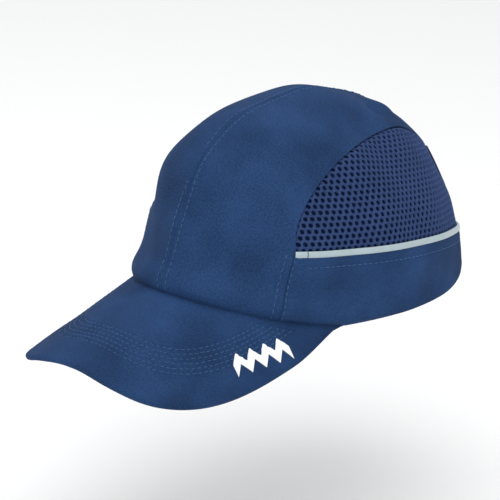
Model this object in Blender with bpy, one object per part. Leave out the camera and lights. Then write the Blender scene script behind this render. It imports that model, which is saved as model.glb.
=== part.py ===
"""Bump cap: a fabric cap with mesh sides over a foam-lined impact shell.

Metres, +Z up. The origin is the middle of the head opening, the peak points
along -Y and the wearer's left is +X. Every fabric piece is a thin closed
sheet that follows one crown surface at its own depth.
"""
import math

import bmesh
import bpy
from mathutils import Matrix, Vector

# ---- crown: plan of the head opening and dome -------------------------------
RIM_LONG = 0.1090        # half length of the opening, front to back
RIM_WIDE = 0.0804        # half width of the opening
RIM_EGG = 0.10           # how much wider the back of the opening is
CROWN_TOP = 0.1145       # top of the dome above the ears' rim
TOP_SHIFT = -0.0058      # the highest point lies this far along Y
LEAN_FRONT, LEAN_SIDE, LEAN_BACK = 0.295, 0.185, 0.0     # how far the wall leans in
ROUND_FRONT, ROUND_SIDE, ROUND_BACK = 6.8, 2.9, 2.57

# ---- peak -------------------------------------------------------------------
PEAK_RISE = 0.0208       # height of the joint at the centre front
PEAK_SLOPE = math.tan(math.radians(16.2))
PEAK_DROOP = 6.8         # sideways curve, per metre
PEAK_CURL = 92.6         # extra curl near the sides, per cubic metre
PEAK_WIDE = 0.0747       # half width of the outline
PEAK_LONG = 0.1405
PEAK_ROOT = -0.039       # the outline's widest place along Y
PEAK_SQUARE = 3.2
JOINT_END = math.radians(69.0)
BACK_RIM = 0.001

# ---- panels on the crown ----------------------------------------------------
CLOTH = 0.0012
SEAM_GAP = 0.0004
SIDE_SEAM_FOOT = math.radians(46.5)
MESH_MIDDLE, MESH_BASE = 0.016, 0.0445
MESH_LONG, MESH_TALL = 0.0780, 0.0505
PIPE_HEIGHT = 0.0038
ARCH_HALF, ARCH_TALL = 0.036, 0.045
BINDING = 0.005

# ---- rear strap: a ring round its own upright axis --------------------------
STRAP_AXIS_Y = 0.0409
STRAP_RADIUS = 0.0648
STRAP_LOW, STRAP_HIGH = 0.003, 0.022
STRAP_THICK = 0.0010
PATCH_THICK = 0.0008
PATCH_INSET = 0.001
LEFT_STRAP_END, LEFT_STRAP_ROOT = -0.0060, 0.0455
LOOP_PATCH_END = 0.0235
TONGUE_ROOT, TONGUE_TIP = -0.0235, 0.0145
TONGUE_RAMP = 0.0060     # length over which the tongue rises over the patches
ROOT_END = -0.0460
LAYER_GAP = 0.0003       # between layers of one stack

# ---- insert -----------------------------------------------------------------
SHELL_DEPTH = 0.0066
SHELL_WALL = 0.0022
SHELL_FRONT, SHELL_SIDE, SHELL_BACK = 0.056, 0.040, 0.055    # height of the lower edge
PAD_DEPTH = SHELL_DEPTH + SHELL_WALL + 0.0006
PAD_THICK = 0.006
CROWN_PAD_HALF = (0.32, 0.42)       # shares of the disc, across and along
PATCH_HALF = (0.11, 0.08)
PATCH_MIDDLE = 0.42                 # the patches' distance from the top, on the disc
LOOP_DEPTH, LOOP_THICK = 0.0029, 0.0010
HOOK_DEPTH, HOOK_THICK = 0.0044, 0.0014

# ---- sewn in ----------------------------------------------------------------
TAPE_THICK = 0.0006
CENTRE_TAPE_DEPTH, MESH_TAPE_DEPTH = 0.0019, 0.0023
JOINT_TAPE_DEPTH, JOINT_TAPE_THICK = 0.0017, 0.0010
JOINT_TAPE_END = math.radians(60)
BAND_DEPTH, BAND_THICK = 0.0036, 0.0022
BAND_LOW, BAND_HIGH = 0.0022, 0.0270        # the sweatband's edges above the rim
BAND_END = math.radians(145)
LABEL_DEPTH, LABEL_THICK = 0.0061, 0.0004
LABEL_LOW, LABEL_HIGH = 0.006, 0.022
LABEL_START, LABEL_END = math.radians(128), math.radians(141)


def blend_round(theta, front, side, back):
    """A value that runs smoothly from front to side to back."""
    c = math.cos(theta)
    return side + (front - back) / 2 * c + ((front + back) / 2 - side) * c * c


def rim_plan(theta):
    return RIM_WIDE * math.sin(theta) * (1 - RIM_EGG * math.cos(theta)), -RIM_LONG * math.cos(theta)


def peak_height(x, y):
    return PEAK_RISE + (y + RIM_LONG) * PEAK_SLOPE - PEAK_DROOP * x * x - PEAK_CURL * x ** 4


def rim_height(theta):
    theta = abs(math.atan2(math.sin(theta), math.cos(theta)))
    if theta < JOINT_END:
        return peak_height(*rim_plan(theta))
    ear = peak_height(*rim_plan(JOINT_END))
    u = (theta - JOINT_END) / (math.pi - JOINT_END)
    return ear + (BACK_RIM - ear) * u * u * (3 - 2 * u)


def crown(p, q):
    """The crown's outer surface over a disc: p to the left, -q to the front, rim at 1."""
    theta, rho = math.atan2(p, -q), math.hypot(p, q)
    s = 1 - rho * rho
    shape = blend_round(theta, ROUND_FRONT, ROUND_SIDE, ROUND_BACK)
    lean = blend_round(theta, LEAN_FRONT, LEAN_SIDE, LEAN_BACK)
    r = (1 - lean * s) * math.sqrt(max(0.0, 1 - max(s, 0.0) ** shape))
    x, y = rim_plan(theta)
    low = rim_height(theta)
    return Vector((x * r, TOP_SHIFT * (1 - r) + y * r, low + (CROWN_TOP - low) * s))


def crown_at(p, q, depth=0.0):
    """A point under the crown's surface, depth inward along its normal."""
    e = 0.004
    across = crown(p + e, q) - crown(p - e, q)
    along = crown(p, q + e) - crown(p, q - e)
    return crown(p, q) - across.cross(along).normalized() * depth


def disc(theta, s):
    rho = math.sqrt(max(0.0, 1 - s))
    return rho * math.sin(theta), -rho * math.cos(theta)


def solve(f, low, high):
    """Bisection for a rising f."""
    for _ in range(40):
        mid = (low + high) / 2
        low, high = (mid, high) if f(mid) < 0 else (low, mid)
    return (low + high) / 2


def height_share(theta, z):
    low = rim_height(theta)
    return min(1.0, max(0.0, (z - low) / (CROWN_TOP - low)))


def side_spot(y, z):
    """Disc place of the point at y and z on the wearer's left."""
    theta = solve(lambda t: crown(*disc(t, height_share(t, z))).y - y, 0.0, math.pi)
    return disc(theta, height_share(theta, z))


def rear_spot(x, z):
    """Disc place of the point at x and z on the left half of the back."""
    theta = solve(lambda t: x - crown(*disc(t, height_share(t, z))).x, math.radians(100), math.pi)
    return disc(theta, height_share(theta, z))


def pipe_height(y):
    """Top of the reflective piping along the side."""
    return 0.0418 - 0.08 * y - 0.6 * max(0.0, y + 0.010) ** 2


def material(name, colour, roughness, metallic=0.0):
    mat = bpy.data.materials.get(name) or bpy.data.materials.new(name)
    mat.use_nodes = True
    shader = mat.node_tree.nodes["Principled BSDF"]
    shader.inputs["Base Color"].default_value = (*colour, 1)
    shader.inputs["Roughness"].default_value = roughness
    shader.inputs["Metallic"].default_value = metallic
    mat.diffuse_color = (*colour, 1)
    return mat


def solid(name, outer, inner, mat, mirror=False):
    """A closed body between two equal grids of points."""
    rows, cols = len(outer), len(outer[0])
    bm = bmesh.new()
    sign = -1 if mirror else 1
    top = [[bm.verts.new((sign * p.x, p.y, p.z)) for p in row] for row in outer]
    low = [[bm.verts.new((sign * p.x, p.y, p.z)) for p in row] for row in inner]
    for i in range(rows - 1):
        for j in range(cols - 1):
            bm.faces.new((top[i][j], top[i][j + 1], top[i + 1][j + 1], top[i + 1][j]))
            bm.faces.new((low[i][j], low[i + 1][j], low[i + 1][j + 1], low[i][j + 1]))
    ring = [(0, j) for j in range(cols)] + [(i, cols - 1) for i in range(1, rows)]
    ring += [(rows - 1, j) for j in range(cols - 2, -1, -1)] + [(i, 0) for i in range(rows - 2, 0, -1)]
    for (a, b), (c, d) in zip(ring, ring[1:] + ring[:1]):
        bm.faces.new((top[a][b], low[a][b], low[c][d], top[c][d]))
    bmesh.ops.recalc_face_normals(bm, faces=bm.faces)
    mesh = bpy.data.meshes.new(name)
    bm.to_mesh(mesh)
    bm.free()
    mesh.materials.append(mat)
    mesh.shade_smooth()
    mesh.set_sharp_from_angle(angle=math.radians(40))
    piece = bpy.data.objects.new(name, mesh)
    bpy.context.collection.objects.link(piece)
    return piece


def ruled(first, last, steps):
    """Rows of disc places between two border lines of equal length."""
    return [[(a[0] + (b[0] - a[0]) * k / steps, a[1] + (b[1] - a[1]) * k / steps)
             for k in range(steps + 1)] for a, b in zip(first, last)]


def cloth_sheet(name, rows, depth, thick, mat, mirror=False):
    """A sheet that follows the crown at a depth under its surface."""
    outer = [[crown_at(p, q, depth) for p, q in row] for row in rows]
    inner = [[crown_at(p, q, depth + thick) for p, q in row] for row in rows]
    return solid(name, outer, inner, mat, mirror)


def pair(make, name, *args):
    """The same piece on the wearer's left and, mirrored, on the right."""
    return [make(name + "_left", *args), make(name + "_right", *args, True)]


def steps_between(low, high, count):
    return [low + (high - low) * k / count for k in range(count + 1)]


# ---- lines on the crown -----------------------------------------------------
def arch_point(angle, grow):
    """Place across and height on the rear opening's edge, grown outward."""
    return (ARCH_HALF + grow) * math.sin(angle), BACK_RIM + (ARCH_TALL + grow) * math.cos(angle)


def mesh_line(grow, start, end, count):
    """The mesh panel's round edge, grown outward; angles from the rear end."""
    line = []
    for a in steps_between(start, end, count):
        y = MESH_MIDDLE + (MESH_LONG + grow) * math.cos(a)
        z = MESH_BASE + (MESH_TALL + grow) * math.sin(a)
        line.append(side_spot(y, max(z, pipe_height(y))))
    return line


def line_points(points, count):
    """Places at equal steps along a broken line on the disc."""
    lengths = [math.dist(a, b) for a, b in zip(points, points[1:])]
    total, line = sum(lengths), []
    for k in range(count + 1):
        left, n = total * k / count, 0
        while n < len(lengths) - 1 and left > lengths[n]:
            left -= lengths[n]
            n += 1
        share = min(1.0, left / lengths[n])
        a, b = points[n], points[n + 1]
        line.append((a[0] + (b[0] - a[0]) * share, a[1] + (b[1] - a[1]) * share))
    return line


CORNER_Y = MESH_MIDDLE - MESH_LONG
RIM_SHARE = 0.010
MESH_REAR = math.radians(12)
REAR_Y = MESH_MIDDLE + MESH_LONG * math.cos(MESH_REAR)
REAR_Z = MESH_BASE + MESH_TALL * math.sin(MESH_REAR)
TAIL_ANGLE = math.radians(53)
PIPE_END_Y = 0.1000


def side_seam(offset, count):
    """The seam from the joint up to the mesh panel's front corner."""
    foot = disc(SIDE_SEAM_FOOT + offset, RIM_SHARE)
    head = side_spot(CORNER_Y + offset * 0.05, pipe_height(CORNER_Y) - 0.0002)
    return line_points([foot, head], count)


def crown_panel(name, mat, mirror=False):
    """Front, top and rear of one half: from the centre seam to the mesh."""
    count = 30
    gap = SEAM_GAP / 2 / RIM_WIDE
    top = rear_spot(SEAM_GAP / 2, BACK_RIM + ARCH_TALL + SEAM_GAP)
    seam = line_points([(gap, disc(0.0, RIM_SHARE)[1]), (gap, top[1])], count)
    round_edge = mesh_line(SEAM_GAP / 2, math.pi, MESH_REAR, 24)
    drop = [side_spot(REAR_Y + SEAM_GAP, z) for z in steps_between(REAR_Z - 0.002, pipe_height(REAR_Y), 4)]
    tail = [rear_spot(*arch_point(TAIL_ANGLE, SEAM_GAP))]
    outer = line_points(side_seam(-0.004, 6) + round_edge[1:] + drop + tail, count)
    front = [disc(a, RIM_SHARE) for a in steps_between(0.0, SIDE_SEAM_FOOT - 0.004, 12)]
    rear = [rear_spot(*arch_point(a, SEAM_GAP)) for a in steps_between(0.006, TAIL_ANGLE, 12)]
    return cloth_sheet(name, coons(seam, outer, front, rear), 0.0, CLOTH, mat, mirror)


def coons(left, right, bottom, top):
    """A grid of disc places inside four border lines."""
    rows = []
    n, m = len(left) - 1, len(bottom) - 1
    bottom = [left[0]] + bottom[1:-1] + [right[0]]
    top = [left[-1]] + top[1:-1] + [right[-1]]
    for i in range(n + 1):
        v = i / n
        row = []
        for j in range(m + 1):
            u = j / m
            spot = []
            for k in (0, 1):
                across = (1 - u) * left[i][k] + u * right[i][k]
                along = (1 - v) * bottom[j][k] + v * top[j][k]
                corners = ((1 - u) * ((1 - v) * left[0][k] + v * left[-1][k])
                           + u * ((1 - v) * right[0][k] + v * right[-1][k]))
                spot.append(across + along - corners)
            row.append(tuple(spot))
        rows.append(row)
    return rows


def side_band(name, mat, mirror=False):
    """The twill band below the piping, from the side seam to the opening."""
    count = 20
    low_end = math.pi - math.asin(ARCH_HALF / RIM_WIDE / 1.07)
    low = [disc(a, RIM_SHARE) for a in steps_between(SIDE_SEAM_FOOT + 0.004, low_end, count)]
    high = [side_spot(y, pipe_height(y) - PIPE_HEIGHT - SEAM_GAP)
            for y in steps_between(CORNER_Y + 0.0003, PIPE_END_Y, count)]
    return cloth_sheet(name, ruled(low, high, 4), 0.0, CLOTH, mat, mirror)


def piping(name, mat, mirror=False):
    low, high = [], []
    for y in steps_between(CORNER_Y + 0.0006, PIPE_END_Y, 22):
        top = pipe_height(y) - SEAM_GAP / 2
        low.append(side_spot(y, top - PIPE_HEIGHT + SEAM_GAP / 2))
        high.append(side_spot(y, top))
    return cloth_sheet(name, ruled(low, high, 1), -0.0010, CLOTH + 0.0010, mat, mirror)


def mesh_panel(name, mat, mirror=False):
    """The half-round ventilation panel above the piping."""
    start, end = MESH_REAR, math.radians(172)
    high = mesh_line(-SEAM_GAP / 2, start, end, 18)
    ys = [MESH_MIDDLE + (MESH_LONG - SEAM_GAP / 2) * math.cos(a) for a in steps_between(start, end, 18)]
    low = [side_spot(y, pipe_height(y) + SEAM_GAP) for y in ys]
    return cloth_sheet(name, ruled(low, high, 7), 0.0005, CLOTH, mat, mirror)


def seam_tape(name, mat, mirror=False):
    """Tape on the inside of the mesh panel's round seam."""
    start, end = math.radians(55), math.radians(160)
    low, high = mesh_line(-0.005, start, end, 18), mesh_line(0.006, start, end, 18)
    return cloth_sheet(name, ruled(low, high, 1), MESH_TAPE_DEPTH, TAPE_THICK, mat, mirror)


def centre_tape(mat):
    front = disc(0.0, 0.16)[1]
    back = rear_spot(0.0, BACK_RIM + ARCH_TALL + 0.010)[1]
    half = 0.0045 / RIM_WIDE
    rows = [[(half * (k - 2) / 2, q) for k in range(5)] for q in steps_between(front, back, 26)]
    return cloth_sheet("centre_seam_tape", rows, CENTRE_TAPE_DEPTH, TAPE_THICK, mat)


def opening_binding(mat):
    """Folded tape round the rear opening's edge."""
    angles = steps_between(math.radians(-86), math.radians(86), 28)
    rows = []
    for a in angles:
        row = []
        for inset in (0.0002, BINDING / 2, BINDING):
            x, z = arch_point(a, -inset)
            p, q = rear_spot(abs(x), z)
            row.append((math.copysign(p, x), q))
        rows.append(row)
    return cloth_sheet("rear_opening_binding", rows, -0.0003, CLOTH + 0.0006, mat)


def sweatband(mat):
    rows = []
    for a in steps_between(-BAND_END, BAND_END, 44):
        low = height_share(a, rim_height(a) + BAND_LOW)
        high = height_share(a, rim_height(a) + BAND_HIGH)
        rows.append([disc(a, s) for s in steps_between(low, high, 3)])
    return cloth_sheet("sweatband", rows, BAND_DEPTH, BAND_THICK, mat)


def joint_tape(mat):
    angles = steps_between(-JOINT_TAPE_END, JOINT_TAPE_END, 24)
    rows = [[disc(a, s) for s in (0.012, 0.06, 0.11)] for a in angles]
    return cloth_sheet("peak_joint_tape", rows, JOINT_TAPE_DEPTH, JOINT_TAPE_THICK, mat)


# ---- peak -------------------------------------------------------------------
def peak_at(x, y, depth):
    """A point under the peak's surface, depth along its normal."""
    dx = -2 * PEAK_DROOP * x - 4 * PEAK_CURL * x ** 3
    normal = Vector((-dx, -PEAK_SLOPE, 1)).normalized()
    return Vector((x, y, peak_height(x, y))) - normal * depth


def peak_rows(inset, hem, count_out):
    """Rows from the crown joint to the outline, one for each way across."""
    rows = []
    for k in steps_between(-1.0, 1.0, 32):
        theta, turn = k * JOINT_END, k * math.pi / 2
        x0, y0 = rim_plan(theta)
        size = 1 + (LAYER_GAP + hem) / RIM_WIDE
        x0, y0 = x0 * size, y0 * size
        c, s = abs(math.cos(turn)), math.sin(turn)
        x1 = math.copysign(abs(s) ** (2 / PEAK_SQUARE), s) * (PEAK_WIDE - inset)
        y1 = PEAK_ROOT - (PEAK_LONG - inset) * c ** (2 / PEAK_SQUARE)
        rows.append([(x0 + (x1 - x0) * t, y0 + (y1 - y0) * t) for t in steps_between(0.0, 1.0, count_out)])
    return rows


def peak_layer(name, depth, thick, inset, hem, mat):
    rows = peak_rows(inset, hem, 7)
    outer = [[peak_at(x, y, depth) for x, y in row] for row in rows]
    inner = [[peak_at(x, y, depth + thick) for x, y in row] for row in rows]
    return solid(name, outer, inner, mat)


PRINT_X, PRINT_Y = 0.0610, -0.0960
PRINT_LONG, PRINT_TALL, PRINT_TURN = 0.036, 0.0085, math.radians(-12)


def peak_print(mat):
    """A generic zigzag bar near the peak's left edge."""
    teeth = 8
    rows = []
    for k in range(teeth + 1):
        along = (k / teeth - 0.5) * PRINT_LONG
        swing = PRINT_TALL * (0.28 if k % 2 else -0.28)
        row = []
        for half in (-0.22, 0.22):
            across = swing + half * PRINT_TALL
            x = PRINT_X + across * math.cos(PRINT_TURN) - along * math.sin(PRINT_TURN)
            y = PRINT_Y + across * math.sin(PRINT_TURN) + along * math.cos(PRINT_TURN)
            row.append((x, y))
        rows.append(row)
    outer = [[peak_at(x, y, -0.0003) for x, y in row] for row in rows]
    inner = [[peak_at(x, y, 0.0) for x, y in row] for row in rows]
    return solid("peak_print", outer, inner, mat)


# ---- insert -----------------------------------------------------------------
def shell_edge(theta):
    """Height of the impact shell's lower edge."""
    return blend_round(theta, SHELL_FRONT, SHELL_SIDE, SHELL_BACK)


def impact_shell(mat):
    """ABS dome with vent slots, closed over the top by its pole."""
    around, up = 40, 9
    bm = bmesh.new()
    skins = []
    for depth in (SHELL_DEPTH, SHELL_DEPTH + SHELL_WALL):
        rings = []
        for j in range(up):
            ring = []
            for i in range(around):
                a = 2 * math.pi * i / around
                low = math.sqrt(1 - height_share(a, shell_edge(a)))
                p, q = low * (1 - j / up) * math.sin(a), -low * (1 - j / up) * math.cos(a)
                ring.append(bm.verts.new(crown_at(p, q, depth)))
            rings.append(ring)
        skins.append((rings, bm.verts.new(crown_at(0, 0, depth))))
    (out, out_pole), (inn, inn_pole) = skins

    def is_slot(i, j):
        return j in (3, 4) and i % 5 in (1, 2) and i not in (1, 2)

    for j in range(up - 1):
        for i in range(around):
            k = (i + 1) % around
            if not is_slot(i, j):
                bm.faces.new((out[j][i], out[j][k], out[j + 1][k], out[j + 1][i]))
                bm.faces.new((inn[j][i], inn[j + 1][i], inn[j + 1][k], inn[j][k]))
    for i in range(around):
        k = (i + 1) % around
        bm.faces.new((out[-1][i], out[-1][k], out_pole))
        bm.faces.new((inn[-1][k], inn[-1][i], inn_pole))
    twin = {a: b for ra, rb in zip(out, inn) for a, b in zip(ra, rb)}
    for edge in [e for e in bm.edges if e.is_boundary and e.verts[0] in twin and e.verts[1] in twin]:
        a, b = edge.verts
        bm.faces.new((a, b, twin[b], twin[a]))
    bmesh.ops.recalc_face_normals(bm, faces=bm.faces)
    mesh = bpy.data.meshes.new("impact_shell")
    bm.to_mesh(mesh)
    bm.free()
    mesh.materials.append(mat)
    mesh.shade_smooth()
    mesh.set_sharp_from_angle(angle=math.radians(40))
    piece = bpy.data.objects.new("impact_shell", mesh)
    bpy.context.collection.objects.link(piece)
    return piece


def pad(name, theta, spread, low, high, mat):
    """A foam pad inside the shell between two angles and two shares of height."""
    rows = []
    for a in steps_between(theta - spread, theta + spread, 8):
        rows.append([disc(a, s) for s in steps_between(low, high, 5)])
    return cloth_sheet(name, rows, PAD_DEPTH, PAD_THICK, mat)


def crown_pad(mat):
    wide, long = CROWN_PAD_HALF
    rows = [[(wide * (i - 4) / 4, long * (j - 5) / 5) for i in range(9)] for j in range(11)]
    return cloth_sheet("crown_pad", rows, PAD_DEPTH, PAD_THICK, mat)


def patch(name, middle, depth, thick, mat):
    """A small hook or loop patch on the centre line."""
    wide, long = PATCH_HALF
    rows = [[(wide * (i - 2) / 2, middle + long * (j - 2) / 2) for i in range(5)] for j in range(5)]
    return cloth_sheet(name, rows, depth, thick, mat)


# ---- rear strap -------------------------------------------------------------
def strap_piece(name, stations, thick, mat, low=STRAP_LOW, high=STRAP_HIGH, pivot=None):
    """An upright band through stations: place across and radius of the inner face."""
    outer, inner = [], []
    for x, radius in stations:
        angle = math.asin(x / STRAP_RADIUS)
        for grid, r in ((outer, radius + thick), (inner, radius)):
            spot = (r * math.sin(angle), STRAP_AXIS_Y + r * math.cos(angle))
            grid.append([Vector((*spot, z)) for z in (low, (low + high) / 2, high)])
    piece = solid(name, outer, inner, mat)
    if pivot:
        piece.data.transform(Matrix.Translation(-pivot))
        piece.location = pivot
    return piece


FOLD = math.asin(TONGUE_ROOT / STRAP_RADIUS)
FOLD_RADIUS = STRAP_RADIUS + STRAP_THICK
HINGE = Vector((FOLD_RADIUS * math.sin(FOLD), STRAP_AXIS_Y + FOLD_RADIUS * math.cos(FOLD), 0.0125))


def level(start, end, radius, count=10):
    return [(x, radius) for x in steps_between(start, end, count)]


def rear_strap(strap, hooks, loops):
    loop_face = STRAP_RADIUS + STRAP_THICK + LAYER_GAP
    hook_face = loop_face + PATCH_THICK + LAYER_GAP
    tongue_face = hook_face + PATCH_THICK + LAYER_GAP
    ring = Vector((0, STRAP_AXIS_Y, 0.0125))
    strap_piece("strap_left", level(LEFT_STRAP_END, LEFT_STRAP_ROOT, STRAP_RADIUS), STRAP_THICK, strap)
    loop_line = level(LEFT_STRAP_END + 0.002, LOOP_PATCH_END, loop_face)
    strap_piece("strap_loop_patch", loop_line, PATCH_THICK, loops,
                STRAP_LOW + PATCH_INSET, STRAP_HIGH - PATCH_INSET)
    strap_piece("strap_root_right", level(ROOT_END, TONGUE_ROOT - LAYER_GAP, STRAP_RADIUS, 4), STRAP_THICK,
                strap, pivot=ring)
    ramp = [(TONGUE_ROOT + TONGUE_RAMP * k / 4, STRAP_RADIUS + (tongue_face - STRAP_RADIUS) * k / 4)
            for k in range(4)]
    strap_piece("strap_tongue", ramp + level(TONGUE_ROOT + TONGUE_RAMP, TONGUE_TIP, tongue_face), STRAP_THICK,
                strap, pivot=HINGE)
    strap_piece("strap_hook_patch", level(-0.0100, TONGUE_TIP - 0.0015, hook_face, 8), PATCH_THICK, hooks,
                STRAP_LOW + PATCH_INSET, STRAP_HIGH - PATCH_INSET, pivot=HINGE)


def label(mat):
    rows = [[disc(a, height_share(a, z)) for z in (LABEL_LOW, LABEL_HIGH)]
            for a in steps_between(LABEL_START, LABEL_END, 4)]
    return cloth_sheet("blank_label", rows, LABEL_DEPTH, LABEL_THICK, mat)


def build():
    for old in list(bpy.data.objects):
        bpy.data.objects.remove(old, do_unlink=True)
    twill = material("navy_twill", (0.026, 0.060, 0.155), 0.9)
    mesh_cloth = material("navy_spacer_mesh", (0.030, 0.050, 0.150), 0.85)
    reflective = material("reflective_piping", (0.42, 0.50, 0.53), 0.45)
    white_print = material("white_print", (0.9, 0.9, 0.9), 0.5)
    board = material("board_plastic", (0.75, 0.76, 0.75), 0.5)
    towel = material("sweatband_cloth", (0.020, 0.035, 0.085), 0.95)
    tape = material("seam_tape_cloth", (0.018, 0.030, 0.070), 0.9)
    shell = material("shell_abs", (0.015, 0.015, 0.017), 0.35)
    foam = material("pad_foam", (0.05, 0.05, 0.055), 0.95)
    hooks = material("hook_tape", (0.012, 0.014, 0.020), 0.8)
    loops = material("loop_tape", (0.016, 0.020, 0.032), 0.95)
    strap = material("strap_webbing", (0.018, 0.032, 0.080), 0.85)
    white_label = material("label_cloth", (0.85, 0.85, 0.83), 0.8)

    for make, name, mat in ((crown_panel, "crown_panel", twill), (mesh_panel, "mesh_panel", mesh_cloth),
                            (side_band, "side_band", twill), (piping, "reflective_piping", reflective),
                            (seam_tape, "mesh_seam_tape", tape)):
        pair(make, name, mat)
    peak_layer("peak_top_cover", 0.0006, 0.0008, 0.0, 0.0, twill)
    peak_layer("peak_board", 0.0018, 0.0014, 0.0030, 0.0012, board)
    peak_layer("peak_under_cover", 0.0036, 0.0008, 0.0003, 0.0, twill)
    peak_print(white_print)
    sweatband(towel)
    joint_tape(tape)
    centre_tape(tape)
    opening_binding(tape)
    label(white_label)
    rear_strap(strap, hooks, loops)

    impact_shell(shell)
    crown_pad(foam)
    pad("front_pad", 0.0, math.radians(34), 0.42, 0.68, foam)
    pad("rear_pad", math.pi, math.radians(26), 0.50, 0.69, foam)
    for name, theta in (("side_pad_left", math.pi / 2), ("side_pad_right", -math.pi / 2)):
        pad(name, theta, math.radians(24), 0.42, 0.66, foam)
    for end, middle in (("front", -PATCH_MIDDLE), ("rear", PATCH_MIDDLE)):
        patch("crown_loop_patch_" + end, middle, LOOP_DEPTH, LOOP_THICK, loops)
        patch("shell_hook_patch_" + end, middle, HOOK_DEPTH, HOOK_THICK, hooks)


build()
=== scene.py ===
"""The looks of a bump cap: twill panels, spacer mesh, piping, peak, strap and padded insert.

Laid out as an add-on and run as a script. Every piece follows the same crown
and peak surfaces as the frame's solids, at its own depth under them.
"""

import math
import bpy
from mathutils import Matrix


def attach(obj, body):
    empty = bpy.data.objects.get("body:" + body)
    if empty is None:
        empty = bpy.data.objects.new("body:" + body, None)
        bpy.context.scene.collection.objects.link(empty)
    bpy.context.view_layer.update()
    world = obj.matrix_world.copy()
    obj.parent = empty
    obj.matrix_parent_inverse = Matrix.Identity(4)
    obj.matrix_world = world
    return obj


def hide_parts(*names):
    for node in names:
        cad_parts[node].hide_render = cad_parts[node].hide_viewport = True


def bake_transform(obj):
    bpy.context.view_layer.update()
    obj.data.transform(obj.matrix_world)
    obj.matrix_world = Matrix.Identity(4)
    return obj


bl_info = {
    "name": "Bump Cap Looks",
    "version": (1, 0, 0),
    "blender": (4, 5, 0),
    "location": "View3D > Sidebar > Bump Cap",
    "description": "Builds the cloth, mesh, stitching and padding of a bump cap round its solid frame",
    "category": "Object",
}

import bmesh
import bpy
import numpy as np
from bpy.props import FloatProperty, FloatVectorProperty, PointerProperty
from mathutils import Matrix, Vector

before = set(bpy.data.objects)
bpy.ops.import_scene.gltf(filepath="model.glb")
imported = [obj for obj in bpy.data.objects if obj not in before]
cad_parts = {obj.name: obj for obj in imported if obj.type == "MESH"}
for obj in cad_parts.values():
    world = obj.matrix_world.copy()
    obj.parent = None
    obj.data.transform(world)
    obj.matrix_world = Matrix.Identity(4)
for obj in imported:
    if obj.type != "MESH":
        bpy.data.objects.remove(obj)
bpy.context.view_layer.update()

# ---- the frame's own driving dimensions, in metres --------------------------
RIM_LONG, RIM_WIDE, RIM_EGG = 0.1090, 0.0804, 0.10
CROWN_TOP, TOP_SHIFT = 0.1145, -0.0058
LEAN_FRONT, LEAN_SIDE, LEAN_BACK = 0.295, 0.185, 0.0
ROUND_FRONT, ROUND_SIDE, ROUND_BACK = 6.8, 2.9, 2.57
PEAK_RISE, PEAK_SLOPE = 0.0208, math.tan(math.radians(16.2))
PEAK_DROOP, PEAK_CURL = 6.8, 92.6
PEAK_WIDE, PEAK_LONG, PEAK_ROOT, PEAK_SQUARE = 0.0742, 0.1405, -0.039, 3.2
JOINT_END = math.radians(69.0)
BACK_RIM = 0.001
SIDE_SEAM_FOOT = math.radians(46.5)
MESH_MIDDLE, MESH_BASE, MESH_LONG, MESH_TALL = 0.016, 0.0445, 0.0780, 0.0505
MESH_REAR = math.radians(12)
REAR_Y = MESH_MIDDLE + MESH_LONG * math.cos(MESH_REAR)
REAR_Z = MESH_BASE + MESH_TALL * math.sin(MESH_REAR)
CORNER_Y = MESH_MIDDLE - MESH_LONG
PIPE_HEIGHT, PIPE_END_Y = 0.0038, 0.1000
ARCH_HALF, ARCH_TALL = 0.036, 0.045
TAIL_ANGLE = math.radians(56)
STRAP_AXIS_Y, STRAP_RADIUS = 0.0409, 0.0648
STRAP_LOW, STRAP_HIGH = 0.003, 0.022
CLOTH = 0.0012
SHELL_DEPTH, SHELL_WALL = 0.0066, 0.0022
PAD_DEPTH, PAD_THICK = 0.0094, 0.006
FLOOR_Z = -0.140

# ---- the sewing's own dimensions, in metres ---------------------------------
MESH_DEPTH, BACKING_DEPTH, BACKING_DROP = 0.0009, 0.0034, 0.0050
BAND_ROW = 0.0052  # stitch row on the side band, below the piping
PEAK_ROWS = 6
ROW_OUT, ROW_IN = (0.0200, 0.0135), (0.0345, 0.0235)  # first and last row, in from the front and the sides
PEAK_LINING, PEAK_BOARD, PEAK_BOARD_DEPTH = 0.0008, 0.0014, 0.0014
BOARD_INSET, BOARD_REACH, BOARD_GAP = 0.006, 0.80, 1.03
PRINT_X, PRINT_Y, PRINT_TURN = 0.0610, -0.0960, math.radians(-12)
PRINT_LONG, PRINT_TALL, PRINT_TEETH = 0.036, 0.0085, 8
PRINT_LIFT, PRINT_FILM = 0.00050, 0.0004
BINDING_TURN = math.radians(87.5)
BINDING_HALF, BINDING_THICK = 0.0036, 0.0015
TAPE_THICK = 0.0005
SWEAT_TURN, SWEAT_LOW, SWEAT_HIGH, SWEAT_DEPTH = math.radians(145), 0.0012, 0.0272, 0.0047
SWEAT_ROWS = (0.0045, 0.0232)
SLOT_ROWS, SLOT_EVERY, SLOT_COLUMNS = range(13, 21), 15, (4, 5, 6)
STRAP_THICK, STRAP_STEP, STRAP_MIDDLE = 0.0010, 0.0035, 0.0125
TONGUE_ROWS_X, TONGUE_ROWS_Z = (-0.008, 0.0125), (0.0052, 0.0198)
MIRROR = np.array([-1.0, 1.0, 1.0])


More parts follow.
